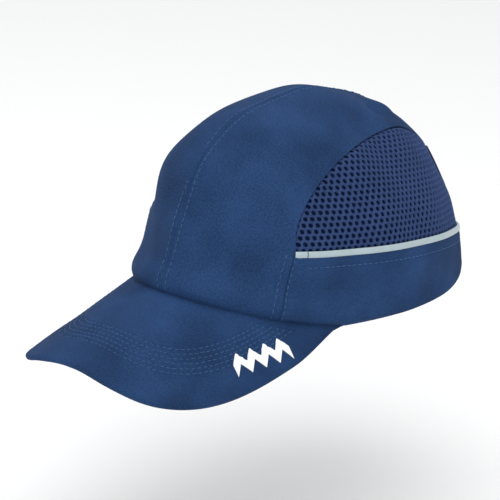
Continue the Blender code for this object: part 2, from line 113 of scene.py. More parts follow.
# ---- settings ---------------------------------------------------------------
class BumpCapSizes(bpy.types.PropertyGroup):
    """Sizes of the sewing and the cloth."""

    stitch: FloatProperty(name="Stitch", description="Length of one stitch", default=0.0024, unit="LENGTH")
    stitch_gap: FloatProperty(name="Stitch gap", description="Gap between stitches", default=0.0011,
                              unit="LENGTH")
    thread: FloatProperty(name="Thread", description="Radius of the sewing thread", default=0.00030,
                          unit="LENGTH")
    twin: FloatProperty(name="Twin rows", description="Distance of a seam's stitch rows from the seam",
                        default=0.0027, unit="LENGTH")
    puff: FloatProperty(name="Puff", description="How far the crown swells above the peak", default=0.0022,
                        unit="LENGTH")
    wrinkle: FloatProperty(name="Wrinkle", description="Height of the soft waves in the cloth",
                           default=0.0009, unit="LENGTH")
    cell_wide: FloatProperty(name="Cell width", description="Distance between the mesh's holes along a row",
                             default=0.0042, unit="LENGTH")
    cell_tall: FloatProperty(name="Cell height", description="Distance between rows of holes", default=0.0034,
                             unit="LENGTH")
    peak_edge: FloatProperty(name="Peak edge", description="Radius of the peak's rolled edge", default=0.0019,
                             unit="LENGTH")


def colour(label, rgb):
    return FloatVectorProperty(name=label, description=f"Base colour of the {label.lower()}", default=rgb,
                               subtype="COLOR", min=0.0, max=1.0)


class BumpCapColours(bpy.types.PropertyGroup):
    """Base colours of the cap's materials."""

    twill: colour("Twill", (0.0165, 0.0455, 0.124))
    mesh: colour("Mesh", (0.036, 0.072, 0.200))
    backing: colour("Mesh backing", (0.006, 0.022, 0.085))
    piping: colour("Piping", (0.36, 0.45, 0.48))
    print_film: colour("Print", (0.88, 0.90, 0.92))
    thread: colour("Thread", (0.044, 0.106, 0.240))
    tape: colour("Tape", (0.018, 0.034, 0.085))
    towel: colour("Sweatband", (0.020, 0.038, 0.100))
    shell: colour("Shell", (0.014, 0.014, 0.016))
    foam: colour("Foam", (0.045, 0.047, 0.052))
    webbing: colour("Webbing", (0.018, 0.036, 0.098))
    label: colour("Label", (0.78, 0.78, 0.75))


def sizes():
    return bpy.context.scene.bump_cap_sizes


def colours():
    return bpy.context.scene.bump_cap_colours


# ---- surfaces ---------------------------------------------------------------
def round_value(theta, front, side, back):
    c = np.cos(theta)
    return side + (front - back) / 2 * c + ((front + back) / 2 - side) * c * c


def rim_plan(theta):
    return RIM_WIDE * np.sin(theta) * (1 - RIM_EGG * np.cos(theta)), -RIM_LONG * np.cos(theta)


def peak_height(x, y):
    return PEAK_RISE + (y + RIM_LONG) * PEAK_SLOPE - PEAK_DROOP * x * x - PEAK_CURL * x ** 4


def rim_height(theta):
    theta = np.abs(np.arctan2(np.sin(theta), np.cos(theta)))
    ear = peak_height(*rim_plan(JOINT_END))
    u = np.clip((theta - JOINT_END) / (math.pi - JOINT_END), 0, 1)
    back = ear + (BACK_RIM - ear) * u * u * (3 - 2 * u)
    return np.where(theta < JOINT_END, peak_height(*rim_plan(theta)), back)


def polar(p, q):
    return np.arctan2(p, -q), 1 - p * p - q * q


def crown(p, q):
    """The crown's surface over a disc: p to the wearer's left, -q to the front, rim at 1."""
    theta, s = polar(p, q)
    shape = round_value(theta, ROUND_FRONT, ROUND_SIDE, ROUND_BACK)
    r = 1 - round_value(theta, LEAN_FRONT, LEAN_SIDE, LEAN_BACK) * s
    r = r * np.sqrt(np.maximum(0, 1 - np.maximum(s, 0) ** shape))
    x, y = rim_plan(theta)
    low = rim_height(theta)
    return np.stack([x * r, TOP_SHIFT * (1 - r) + y * r, low + (CROWN_TOP - low) * s], -1)


def unit(v):
    return v / np.maximum(np.linalg.norm(v, axis=-1, keepdims=True), 1e-12)


def crown_normal(p, q):
    e = 0.004
    return unit(np.cross(crown(p + e, q) - crown(p - e, q), crown(p, q + e) - crown(p, q - e)))


def disc(theta, s):
    rho = np.sqrt(np.maximum(0, 1 - s))
    return rho * np.sin(theta), -rho * np.cos(theta)


def solve(f, low, high, like):
    """Bisection of a rising f, for a whole array at once."""
    low, high = np.full(np.shape(like), low), np.full(np.shape(like), high)
    for _ in range(36):
        mid = (low + high) / 2
        less = f(mid) < 0
        low, high = np.where(less, mid, low), np.where(less, high, mid)
    return (low + high) / 2


def height_share(theta, z):
    low = rim_height(theta)
    return np.clip((z - low) / (CROWN_TOP - low), -0.02, 1)


def side_spot(y, z):
    """Disc place of the points at y and z on the wearer's left."""
    theta = solve(lambda t: crown(*disc(t, height_share(t, z)))[..., 1] - y, 0.0, math.pi, y + z)
    return disc(theta, height_share(theta, z))


def rear_spot(x, z):
    """Disc place of the points at x and z on the back, x on the wearer's left."""
    theta = solve(lambda t: x - crown(*disc(t, height_share(t, z)))[..., 0],
                  math.radians(100), math.pi, x + z)
    return disc(theta, height_share(theta, z))


def across_spot(x, q):
    """Disc place of the points at x on the line q."""
    p = solve(lambda t: crown(t, q)[..., 0] - x, -0.6, 0.6, q + x)
    return p, q + 0 * p


def pipe_height(y):
    return 0.0418 - 0.08 * y - 0.6 * np.maximum(0.0, y + 0.010) ** 2


def arch_point(angle, grow):
    return (ARCH_HALF + grow) * np.sin(angle), BACK_RIM + (ARCH_TALL + grow) * np.cos(angle)


def mesh_arc(grow, angle):
    """Disc places on the mesh panel's round edge; angle 0 is at the rear."""
    y = MESH_MIDDLE + (MESH_LONG + grow) * np.cos(angle)
    z = MESH_BASE + (MESH_TALL + grow) * np.sin(angle)
    return side_spot(y, np.maximum(z, pipe_height(y)))


def resample(line, count):
    """Equal steps along a broken line, given as rows of points."""
    line = np.asarray(line, float)
    run = np.concatenate([[0], np.cumsum(np.linalg.norm(np.diff(line, axis=0), axis=1))])
    at = np.linspace(0, run[-1], count)
    return np.stack([np.interp(at, run, line[:, k]) for k in range(line.shape[1])], -1)


def side_seam(offset, count):
    """Disc places from the joint up to the mesh's front corner; offset moves it backward, in metres."""
    foot = np.array(disc(SIDE_SEAM_FOOT + offset / 0.095, 0.0))
    head = np.array(side_spot(np.array(CORNER_Y + offset * 0.75), pipe_height(CORNER_Y)))
    t = np.linspace(0, 1, count)[:, None]
    return foot * (1 - t) + head * t


def nearest(points, line):
    """Distance from each point to a broken line."""
    a, d = line[:-1], np.diff(line, axis=0)
    best = np.full(points.shape[:-1], 1e9)
    for start, step in zip(a, d):
        t = np.clip(((points - start) @ step) / (step @ step), 0, 1)
        best = np.minimum(best, np.linalg.norm(points - start - t[..., None] * step, axis=-1))
    return best


SIDE_LINE = crown(*side_seam(0.0, 24).T)
ARC_LINE = crown(*np.array(mesh_arc(0.0, np.linspace(math.pi, MESH_REAR, 60))))

WAVES = np.random.default_rng(7)
WAVE_ROWS = [(unit(WAVES.normal(size=3)) * 2 * math.pi / WAVES.uniform(0.022, 0.075), WAVES.uniform(0, 6.28))
             for _ in range(14)]

# Soft dents and swells of the worn cloth: place, radius and height.
SWELLS = (
    ((0.020, 0.018, 0.106), 0.016, 0.0016),
    ((0.0262, 0.034, 0.1025), 0.0065, -0.0024),
    ((0.022, 0.048, 0.099), 0.009, 0.0020),
    ((0.024, 0.060, 0.0915), 0.0065, -0.0022),
    ((0.044, -0.053, 0.079), 0.006, -0.0007),
    ((0.050, -0.046, 0.084), 0.006, 0.0007),
    ((0.030, -0.078, 0.074), 0.016, 0.0010),
    ((0.034, -0.084, 0.050), 0.015, -0.0009),
    ((-0.030, -0.080, 0.066), 0.014, 0.0010),
    ((-0.028, 0.030, 0.102), 0.014, -0.0012),
    ((0.066, -0.040, 0.020), 0.012, -0.0008),
    ((0.074, 0.010, 0.018), 0.014, 0.0008),
    ((0.060, 0.066, 0.016), 0.012, -0.0008),
    ((-0.072, -0.010, 0.020), 0.016, -0.0009),
)


def waves(points, height):
    total = sum(np.sin(points @ k + phase) for k, phase in WAVE_ROWS)
    return height * total / math.sqrt(len(WAVE_ROWS))


def relief(p, q):
    """How far the cloth stands out of the crown's surface."""
    at = crown(p, q)
    theta, s = polar(p, q)
    size = sizes()
    rise = waves(at, size.wrinkle)
    for place, radius, height in SWELLS:
        rise = rise + height * np.exp(-np.sum((at - place) ** 2, -1) / radius ** 2)
    rise = rise * np.clip(s / 0.05, 0.15, 1)
    front = np.clip(np.cos(theta) * 1.6, 0, 1) ** 0.7
    z = at[..., 2] - rim_height(theta)
    puff = np.exp(-((z - 0.0075) / 0.0075) ** 2) - 1.10 * np.exp(-(z / 0.0015) ** 2)
    rise = rise + size.puff * front * puff
    x = np.abs(at[..., 0])
    arch_top = np.where((at[..., 1] > 0) & (at[..., 2] < BACK_RIM + ARCH_TALL), 0.0, 1.0)
    pitch = 2 * math.pi / (size.stitch + size.stitch_gap)
    run = at[..., 1] - at[..., 2]
    rise = rise + arch_top * seam_relief(x, run * 0.9 * pitch)
    away = nearest(np.stack([x, at[..., 1], at[..., 2]], -1), SIDE_LINE)
    return rise + seam_relief(away, at[..., 2] * pitch)


def seam_relief(away, phase):
    """A sewn seam: a sharp groove between two padded ridges, puckered by its stitches."""
    ridge = 0.00035 * np.exp(-(away / 0.0046) ** 4)
    groove = -0.0005 * np.exp(-(away / 0.0006) ** 2)
    pucker = 0.00016 * np.cos(phase) * np.exp(-((away - sizes().twin) / 0.0013) ** 2)
    return ridge + groove + pucker


def cloth_at(p, q, depth):
    """Points under the cloth's own surface."""
    p, q = np.asarray(p, float), np.asarray(q, float)
    return crown(p, q) + crown_normal(p, q) * (relief(p, q) - depth)[..., None]


def peak_normal(x):
    slope = -2 * PEAK_DROOP * x - 4 * PEAK_CURL * x ** 3
    return unit(np.stack([-slope, np.full_like(x, -PEAK_SLOPE), np.ones_like(x)], -1))


def peak_outline(turn, inset_long=0.0, inset_wide=0.0):
    """Plan points on the peak's outline; turn runs from -90 to 90 degrees."""
    c, s = np.abs(np.cos(turn)), np.sin(turn)
    x = np.sign(s) * np.abs(s) ** (2 / PEAK_SQUARE) * (PEAK_WIDE - inset_wide)
    return x, PEAK_ROOT - (PEAK_LONG - inset_long) * c ** (2 / PEAK_SQUARE)


def peak_row(k):
    """The plan line of one row of the peak's stitching, from the joint round to the joint."""
    share = k / (PEAK_ROWS - 1)
    inset = [a + (b - a) * share for a, b in zip(ROW_OUT, ROW_IN)]
    line = np.stack(peak_outline(np.linspace(-math.pi / 2, math.pi / 2, 400), *inset), -1)
    x, y = line.T
    theta = np.arctan2(x / RIM_WIDE, -y / RIM_LONG)
    rx, ry = rim_plan(theta)
    return line[np.hypot(x, y) > np.hypot(rx, ry) + 0.0012]


def peak_relief(x, y):
    at = np.stack([x, y, peak_height(x, y)], -1)
    rise = waves(at * np.array([1.4, 1.0, 1.0]), 0.00022)
    flat = np.stack([x, y], -1)
    size = sizes()
    pitch = 2 * math.pi / (size.stitch + size.stitch_gap)
    for k in range(PEAK_ROWS):
        away = nearest(flat, resample(peak_row(k), 60))
        rise = rise - 0.00062 * np.exp(-(away / 0.0009) ** 2)
        rise = rise + 0.00022 * np.cos((x + y) * pitch + k) * np.exp(-(away / 0.0016) ** 2)
    return rise


def peak_at(x, y, depth):
    at = np.stack([x, y, peak_height(x, y)], -1)
    return at + peak_normal(x) * (peak_relief(x, y) - depth)[..., None]


# ---- mesh making ------------------------------------------------------------
def clear_selection():
    if bpy.context.object and bpy.context.object.mode != "OBJECT":
        bpy.ops.object.mode_set(mode="OBJECT")
    bpy.ops.object.select_all(action="DESELECT")


def only(piece):
    """Makes a piece the one selected and active object."""
    clear_selection()
    piece.select_set(True)
    bpy.context.view_layer.objects.active = piece


def mesh_piece(name, points, faces):
    """A piece made straight from its points and faces."""
    mesh = bpy.data.meshes.new(name)
    mesh.from_pydata(points, [], faces)
    piece = bpy.data.objects.new(name, mesh)
    bpy.context.collection.objects.link(piece)
    return piece


def grid_piece(name, points, close_across=False):
    """A grid primitive whose points are laid on the given rows of places."""
    rows, cols = points.shape[:2]
    clear_selection()
    bpy.ops.mesh.primitive_grid_add(x_subdivisions=cols - 1, y_subdivisions=rows - 1, size=1, calc_uvs=True)
    piece = bpy.context.object
    piece.name = name
    piece.data.name = name
    mesh = piece.data
    mesh.vertices.foreach_set("co", points.reshape(-1))
    write_uv(mesh.uv_layers[0], mesh, cloth_uv(points).reshape(-1, 2))
    if close_across:
        bpy.ops.object.mode_set(mode="EDIT")
        bpy.ops.mesh.select_all(action="SELECT")
        bpy.ops.mesh.remove_doubles(threshold=1e-6)
        bpy.ops.mesh.select_all(action="DESELECT")
        bpy.ops.mesh.select_non_manifold()
        bpy.ops.mesh.edge_face_add()
        bpy.ops.object.mode_set(mode="OBJECT")
    mesh.update()
    return piece


def cloth_uv(points):
    """UV places in metres along and across the cloth, one for each point."""
    across = np.linalg.norm(np.diff(points, axis=1), axis=-1)
    along = np.linalg.norm(np.diff(points, axis=0), axis=-1)
    u = np.concatenate([np.zeros((len(points), 1)), np.cumsum(across, axis=1)], 1)
    u = u - u[:, u.shape[1] // 2][:, None]
    v = np.concatenate([np.zeros((1, points.shape[1])), np.cumsum(along, axis=0)], 0)
    return np.stack([u, v], -1)


def write_uv(layer, mesh, uv):
    """Writes each vertex's UV place to the faces round it."""
    loops = np.empty(len(mesh.loops), int)
    mesh.loops.foreach_get("vertex_index", loops)
    layer.data.foreach_set("uv", uv[loops].reshape(-1))


def area_and_size(points):
    """Area, width and length of a sheet laid on rows of places."""
    a = points[1:, :-1] - points[:-1, :-1]
    b = points[:-1, 1:] - points[:-1, :-1]
    area = float(np.linalg.norm(np.cross(a, b), axis=-1).sum())
    wide = float(np.linalg.norm(np.diff(points, axis=1), axis=-1).sum(1).max())
    long = float(np.linalg.norm(np.diff(points, axis=0), axis=-1).sum(0).max())
    return area, wide, long


def face_out(piece, centre=(0, 0, 0.03)):
    """Turns an open sheet's faces away from the head's middle."""
    mesh = piece.data
    mid = mesh.polygons[len(mesh.polygons) // 2]
    if (mid.center - Vector(centre)).dot(mid.normal) < 0:
        mesh.flip_normals()


def apply_modifier(piece, kind, **values):
    only(piece)
    mod = piece.modifiers.new(kind.title(), kind)
    for key, value in values.items():
        setattr(mod, key, value)
    bpy.ops.object.modifier_apply(modifier=mod.name)


def thicken(piece, thick, rounding=0.0004):
    apply_modifier(piece, "SOLIDIFY", thickness=thick, offset=-1.0, use_even_offset=False)
    if rounding:
        apply_modifier(piece, "BEVEL", width=rounding, segments=2, limit_method="ANGLE",
                       angle_limit=math.radians(50))


def smooth(piece, angle=60):
    only(piece)
    bpy.ops.object.shade_smooth_by_angle(angle=math.radians(angle))


def finish_piece(piece, mat, body, slot, *nodes, angle=60):
    """Gives a finished piece its material and body and hides the solids it stands for; the slot is not used.
    """
    piece.data.materials.clear()
    piece.data.materials.append(mat)
    smooth(piece, angle)
    if body:
        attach(piece, body)
    if nodes:
        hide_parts(*nodes)
    return piece


def mirror_points(points, mirror):
    return points * MIRROR if mirror else points


def sides():
    """The wearer's left and right: name ending and whether it is mirrored."""
    return (("left", False), ("right", True))


def coons(left, right, bottom, top):
    """A grid of disc places inside four border lines."""
    v = np.linspace(0, 1, len(left))[:, None, None]
    run = np.cumsum(np.concatenate([[0], np.linalg.norm(np.diff(bottom, axis=0), axis=1)]))
    u = (run / run[-1])[None, :, None]
    bottom, top = bottom.copy(), top.copy()
    bottom[0], bottom[-1], top[0], top[-1] = left[0], right[0], left[-1], right[-1]
    across = (1 - u) * left[:, None] + u * right[:, None]
    along = (1 - v) * bottom[None] + v * top[None]
    corners = ((1 - u) * ((1 - v) * left[0] + v * left[-1]) + u * ((1 - v) * right[0] + v * right[-1]))
    return across + along - corners


def relaxed(spots, rounds):
    """Evens out a grid inside its own border, so that no cell folds over."""
    spots = spots.copy()
    for _ in range(rounds):
        spots[1:-1, 1:-1] = (spots[:-2, 1:-1] + spots[2:, 1:-1] + spots[1:-1, :-2] + spots[1:-1, 2:]) / 4
    return spots


def eased(count, ease=0.75):
    """Steps from 0 to 1, closer together at both ends."""
    t = np.linspace(0, 1, count)
    return t * (1 - ease) + ease * (0.5 - 0.5 * np.cos(math.pi * t))


def tube(name, middle, across, up, outline):
    """A closed tube: an outline of (across, up) pairs carried along a line."""
    loop = np.asarray(outline)
    ring = np.concatenate([loop, loop[:1]])
    points = (middle[:, None] + across[:, None] * ring[None, :, :1] + up[:, None] * ring[None, :, 1:])
    piece = grid_piece(name, points, close_across=True)
    outward(piece)
    return piece


def outward(piece):
    """Recalculates a closed piece's normals."""
    only(piece)
    bpy.ops.object.mode_set(mode="EDIT")
    bpy.ops.mesh.select_all(action="SELECT")
    bpy.ops.mesh.normals_make_consistent(inside=False)
    bpy.ops.object.mode_set(mode="OBJECT")


def oval(half_wide, half_tall, count=14, square=2.4):
    turn = np.linspace(0, 2 * math.pi, count, endpoint=False)
    c, s = np.cos(turn), np.sin(turn)
    return np.stack([half_wide * np.sign(c) * np.abs(c) ** (2 / square),
                     half_tall * np.sign(s) * np.abs(s) ** (2 / square)], -1)


def frames(line, normals):
    """Side directions and true normals along a line, all of unit length."""
    tangent = unit(np.gradient(line, axis=0))
    side = unit(np.cross(normals, tangent))
    return side, unit(np.cross(tangent, side))


# ---- shaders ----------------------------------------------------------------
class Socket:
    """A shader output that adds Math nodes when it is used in an expression."""

    def __init__(self, tree, out):
        self.tree, self.out = tree, out

    def math(self, operation, *values):
        return add_node(self.tree, "ShaderNodeMath", {"operation": operation}, dict(enumerate(values)))

    def __add__(self, other):
        return self.math("ADD", self, other)

    def __radd__(self, other):
        return self.math("ADD", other, self)

    def __sub__(self, other):
        return self.math("SUBTRACT", self, other)

    def __rsub__(self, other):
        return self.math("SUBTRACT", other, self)

    def __mul__(self, other):
        return self.math("MULTIPLY", self, other)

    def __rmul__(self, other):
        return self.math("MULTIPLY", other, self)

    def sine(self):
        return self.math("SINE", self)

    def clamp(self, low=0.0, high=1.0):
        return self.math("MINIMUM", self.math("MAXIMUM", self, low), high)


def add_node(tree, kind, settings, inputs, output=0):
    """Adds a node: its settings first, then its sockets' values or links."""
    node = tree.nodes.new(kind)
    for key, value in settings.items():
        setattr(node, key, value)
    for key, value in inputs.items():
        if isinstance(value, Socket):
            tree.links.new(value.out, node.inputs[key])
        else:
            node.inputs[key].default_value = value
    return Socket(tree, node.outputs[output])


class Finish:
    """A Principled material under construction."""

    def __init__(self, name, rgb, roughness, **constants):
        self.mat = bpy.data.materials.new(name)
        self.mat.use_nodes = True
        self.tree = self.mat.node_tree
        self.shader = self.tree.nodes["Principled BSDF"]
        self.shader.inputs["Base Color"].default_value = (*rgb, 1)
        self.shader.inputs["Roughness"].default_value = roughness
        for key, value in constants.items():
            self.shader.inputs[key.replace("_", " ")].default_value = value
        self.rgb = rgb

    def place(self, output="UV"):
        return add_node(self.tree, "ShaderNodeTexCoord", {}, {}, {"UV": 2, "Object": 3}[output])

    def axes(self, vector):
        split = self.tree.nodes.new("ShaderNodeSeparateXYZ")
        self.tree.links.new(vector.out, split.inputs[0])
        return [Socket(self.tree, split.outputs[k]) for k in range(3)]

    def noise(self, vector, scale, detail=3.0, roughness=0.55):
        return add_node(self.tree, "ShaderNodeTexNoise", {},
                        {"Vector": vector, "Scale": scale, "Detail": detail, "Roughness": roughness})

    def shades(self, factor, dark, light):
        """The base colour between two multiples of itself."""
        low, high = [(*(min(1.0, c * k) for c in self.rgb), 1) for k in (dark, light)]
        mixed = add_node(self.tree, "ShaderNodeMix", {"data_type": "RGBA"}, {0: factor, 6: low, 7: high}, 2)
        self.link(mixed, "Base Color")

    def link(self, socket, name):
        self.tree.links.new(socket.out, self.shader.inputs[name])

    def bump(self, height, distance, strength=1.0):
        self.link(add_node(self.tree, "ShaderNodeBump", {},
                           {"Height": height, "Distance": distance, "Strength": strength}), "Normal")


def made(name, maker):
    """A look is made once and found by its name after that; the frame's own materials keep theirs."""
    name = "look_" + name
    return bpy.data.materials.get(name) or maker(name)


def twill_cloth(name):
    """Fine diagonal twill with slight slubs, shade changes and a soft sheen."""
    out = Finish(name, colours().twill, 0.9, Specular_IOR_Level=0.10)
    uv = out.place()
    u, v, _ = out.axes(uv)
    diagonal = ((u * 0.78 + v * 0.62) * (2 * math.pi / 0.00085)).sine()
    weft = ((v * 0.9 - u * 0.35) * (2 * math.pi / 0.00048)).sine()
    slub = out.noise(uv, 900.0, 2.0, 0.6)
    shade = out.noise(out.place("Object"), 30.0, 3.0, 0.5)
    speck = out.noise(uv, 1500.0, 3.0, 0.7)
    out.shades((diagonal * 0.12 + slub * 1.3 + shade * 1.3 + speck * 1.1 - 1.37).clamp(), 0.52, 1.52)
    out.link((0.80 + slub * 0.16).clamp(), "Roughness")
    out.bump(diagonal * 0.30 + weft * 0.12 + slub * 0.9, 0.00022, 0.85)
    return out.mat


def knit_mesh(name):
    """Smooth violet-navy threads with a fine knit rib."""
    out = Finish(name, colours().mesh, 0.7, Specular_IOR_Level=0.2)
    uv = out.place()
    u, v, _ = out.axes(uv)
    rib = ((u * 0.8 + v) * (2 * math.pi / 0.00062)).sine()
    wale = ((u - v * 0.3) * (2 * math.pi / 0.00045)).sine()
    fuzz = out.noise(uv, 1500.0, 2.0, 0.6)
    tone = out.noise(out.place("Object"), 60.0, 3.0, 0.5)
    out.shades((fuzz * 0.6 + rib * 0.14 + tone * 0.5 - 0.05).clamp(), 0.60, 1.26)
    out.bump(rib * 0.4 + wale * 0.3 + fuzz * 0.5, 0.00018, 0.8)
    return out.mat


def dark_backing(name):
    out = Finish(name, colours().backing, 0.9, Specular_IOR_Level=0.2)
    fuzz = out.noise(out.place(), 700.0, 3.0, 0.6)
    out.shades(fuzz, 0.5, 1.6)
    out.bump(fuzz, 0.0004)
    return out.mat


def reflective_tape(name):
    """Pale grey tape with tiny glass beads and a soft silver shine."""
    out = Finish(name, colours().piping, 0.42, Specular_IOR_Level=0.6, Coat_Weight=0.15)
    uv = out.place()
    beads = add_node(out.tree, "ShaderNodeTexVoronoi", {}, {"Vector": uv, "Scale": 3800.0})
    dirt = out.noise(uv, 160.0, 4.0, 0.6)
    out.shades((0.35 + dirt * 0.7 - beads * 0.25).clamp(), 0.80, 1.16)
    out.link((0.30 + dirt * 0.25).clamp(), "Roughness")
    out.bump(beads * 0.6 + dirt * 0.4, 0.00006, 0.5)
    return out.mat


def white_film(name):
    out = Finish(name, colours().print_film, 0.38, Specular_IOR_Level=0.45)
    grain = out.noise(out.place("Object"), 900.0, 3.0, 0.6)
    out.shades((grain * 0.8).clamp(), 0.93, 1.04)
    out.link(0.30 + grain * 0.18, "Roughness")
    out.bump(grain, 0.00005, 0.6)
    return out.mat


def sewing_thread(name):
    """Twisted polyester thread."""
    out = Finish(name, colours().thread, 0.6, Specular_IOR_Level=0.2)
    at = out.place("Object")
    x, y, z = out.axes(at)
    twist = ((x + y + z) * (2 * math.pi / 0.00055)).sine()
    tone = out.noise(at, 500.0, 2.0, 0.5)
    out.shades((0.35 + twist * 0.2 + tone * 0.5).clamp(), 0.65, 1.35)
    out.bump(twist, 0.00008)
    return out.mat


def woven_tape(name, rgb=None, pitch=0.0009, rough=0.85):
    """Plain woven tape: ribs across, threads along."""
    out = Finish(name, rgb or colours().tape, rough, Specular_IOR_Level=0.18)
    uv = out.place()
    u, v, _ = out.axes(uv)
    rib = (v * (2 * math.pi / pitch)).sine()
    warp = (u * (2 * math.pi / (pitch * 0.8))).sine()
    fuzz = out.noise(uv, 1100.0, 3.0, 0.6)
    out.shades((0.3 + rib * 0.16 + warp * 0.10 + fuzz * 0.5).clamp(), 0.65, 1.4)
    out.bump(rib * 0.5 + warp * 0.35 + fuzz * 0.4, 0.00022, 0.8)
    return out.mat


def towelling(name):
    """Looped towelling with a soft nap."""
    out = Finish(name, colours().towel, 0.95, Sheen_Weight=0.06, Specular_IOR_Level=0.15)
    uv = out.place()
    loops = add_node(out.tree, "ShaderNodeTexVoronoi", {}, {"Vector": uv, "Scale": 1300.0})
    nap = out.noise(uv, 420.0, 4.0, 0.65)
    out.shades((nap * 0.8 + loops * 0.35 - 0.1).clamp(), 0.6, 1.45)
    out.bump(loops * -0.7 + nap * 0.6, 0.0004, 0.8)
    return out.mat


def moulded_abs(name):
    """Injection-moulded ABS with a fine spark texture."""
    out = Finish(name, colours().shell, 0.42, Specular_IOR_Level=0.5)
    at = out.place("Object")
    spark = out.noise(at, 1300.0, 3.0, 0.6)
    scuff = out.noise(at, 45.0, 5.0, 0.6)
    out.shades((scuff * 0.7 + spark * 0.3).clamp(), 0.8, 1.6)
    out.link((0.30 + spark * 0.14 + scuff * 0.16).clamp(), "Roughness")
    out.bump(spark, 0.00008, 0.6)
    return out.mat


def closed_foam(name):
    """EVA foam: matt, with tiny skin pores."""
    out = Finish(name, colours().foam, 0.92, Specular_IOR_Level=0.25)
    at = out.place("Object")
    pores = add_node(out.tree, "ShaderNodeTexVoronoi", {}, {"Vector": at, "Scale": 1500.0})
    cloud = out.noise(at, 70.0, 4.0, 0.6)
    out.shades((cloud * 0.8 + pores * 0.2).clamp(), 0.75, 1.3)
    out.bump(pores * 0.7 + cloud * 0.6, 0.00018, 0.7)
    return out.mat


def touch_tape(name, rgb, scale):
    """Hook or loop tape: a dense field of small tufts."""
    out = Finish(name, rgb, 0.9, Sheen_Weight=0.08, Specular_IOR_Level=0.2)
    uv = out.place("Object")
    tufts = add_node(out.tree, "ShaderNodeTexVoronoi", {}, {"Vector": uv, "Scale": scale})
    fuzz = out.noise(uv, scale * 0.4, 3.0, 0.6)
    out.shades((fuzz * 0.7 + tufts * 0.5 - 0.1).clamp(), 0.5, 1.8)
    out.bump(tufts * -1.0 + fuzz, 0.0005, 0.9)
    return out.mat


def board_plastic(name):
    out = Finish(name, (0.70, 0.71, 0.70), 0.45)
    grain = out.noise(out.place("Object"), 300.0, 3.0, 0.6)
    out.shades(grain, 0.9, 1.08)
    out.bump(grain, 0.0001, 0.5)
    return out.mat


def satin_label(name):
    out = Finish(name, colours().label, 0.55, Sheen_Weight=0.2)
    uv = out.place()
    _, v, _ = out.axes(uv)
    weave = (v * (2 * math.pi / 0.0004)).sine()
    tone = out.noise(uv, 300.0, 3.0, 0.6)
    out.shades((tone * 0.8 + weave * 0.1 + 0.1).clamp(), 0.86, 1.05)
    out.bump(weave * 0.5 + tone, 0.0001, 0.5)
    return out.mat


# ---- stitching --------------------------------------------------------------
def stitch_shape():
    """One stitch, a unit long and thick, as a six-sided spindle: points and faces."""
    clear_selection()
    bpy.ops.mesh.primitive_cylinder_add(vertices=6, radius=1.0, depth=1.0, rotation=(0, math.pi / 2, 0))
    piece = bpy.context.object
    bpy.ops.object.transform_apply(location=True, rotation=True, scale=True)
    bpy.ops.object.mode_set(mode="EDIT")
    bpy.ops.mesh.select_all(action="SELECT")
    bpy.ops.mesh.bevel(offset=0.28, segments=1, affect="EDGES")
    bpy.ops.object.mode_set(mode="OBJECT")
    points = np.array([v.co[:] for v in piece.data.vertices])
    faces = [tuple(f.vertices) for f in piece.data.polygons]
    bpy.data.objects.remove(piece)
    return points, faces


def stitched(name, lines, lift=0.00005, body="cap", seed=3):
    """All the stitches of several lines as one piece; each line is (points, normals)."""
    size = sizes()
    shape, faces = stitch_shape()
    random = np.random.default_rng(seed)
    points, polygons = [], []
    for line, normals in lines:
        run = np.concatenate([[0], np.cumsum(np.linalg.norm(np.diff(line, axis=0), axis=1))])
        step = size.stitch + size.stitch_gap
        count = max(1, int(run[-1] / step))
        at = (np.arange(count) + 0.5) * run[-1] / count
        mid = np.stack([np.interp(at, run, line[:, k]) for k in range(3)], -1)
        up = unit(np.stack([np.interp(at, run, normals[:, k]) for k in range(3)], -1))
        ahead = np.stack([np.interp(at + step * 0.4, run, line[:, k]) for k in range(3)], -1)
        behind = np.stack([np.interp(at - step * 0.4, run, line[:, k]) for k in range(3)], -1)
        tangent = unit(ahead - behind)
        side = unit(np.cross(up, tangent))
        for m, t, s, n in zip(mid, tangent, side, np.cross(tangent, side)):
            t = unit(t + s * random.normal(0, 0.05))
            length = size.stitch * (1 + random.normal(0, 0.04))
            start = len(points) * len(shape)
            polygons += [tuple(start + k for k in f) for f in faces]
            points.append(m + n * lift + np.outer(shape[:, 0] * length, t)
                          + np.outer(shape[:, 1] * size.thread, s)
                          + np.outer(shape[:, 2] * size.thread * 0.8, n))
    piece = mesh_piece(name, np.concatenate(points).tolist(), polygons)
    outward(piece)
    return finish_piece(piece, made("sewing_thread", sewing_thread), body, "navy_twill", angle=80)


def crown_line(spots, depth=0.0, mirror=False):
    """A line on the cloth from disc places, with its normals."""
    p, q = np.asarray(spots).T
    return mirror_points(cloth_at(p, q, depth), mirror), mirror_points(crown_normal(p, q), mirror)


# ---- pieces -----------------------------------------------------------------
def declare_sheet(points):
    """Works out the area, width and length of the flat cloth but keeps none of them; a curved panel is eased
    into shape, not stretched.
    """
    area, wide, long = area_and_size(points)


def cloth_piece(name, spots, depth, thick, mirror=False, rounding=0.0004):
    points = mirror_points(cloth_at(spots[..., 0], spots[..., 1], depth), mirror)
    piece = grid_piece(name, points)
    face_out(piece)
    thicken(piece, thick, rounding)
    return piece, points


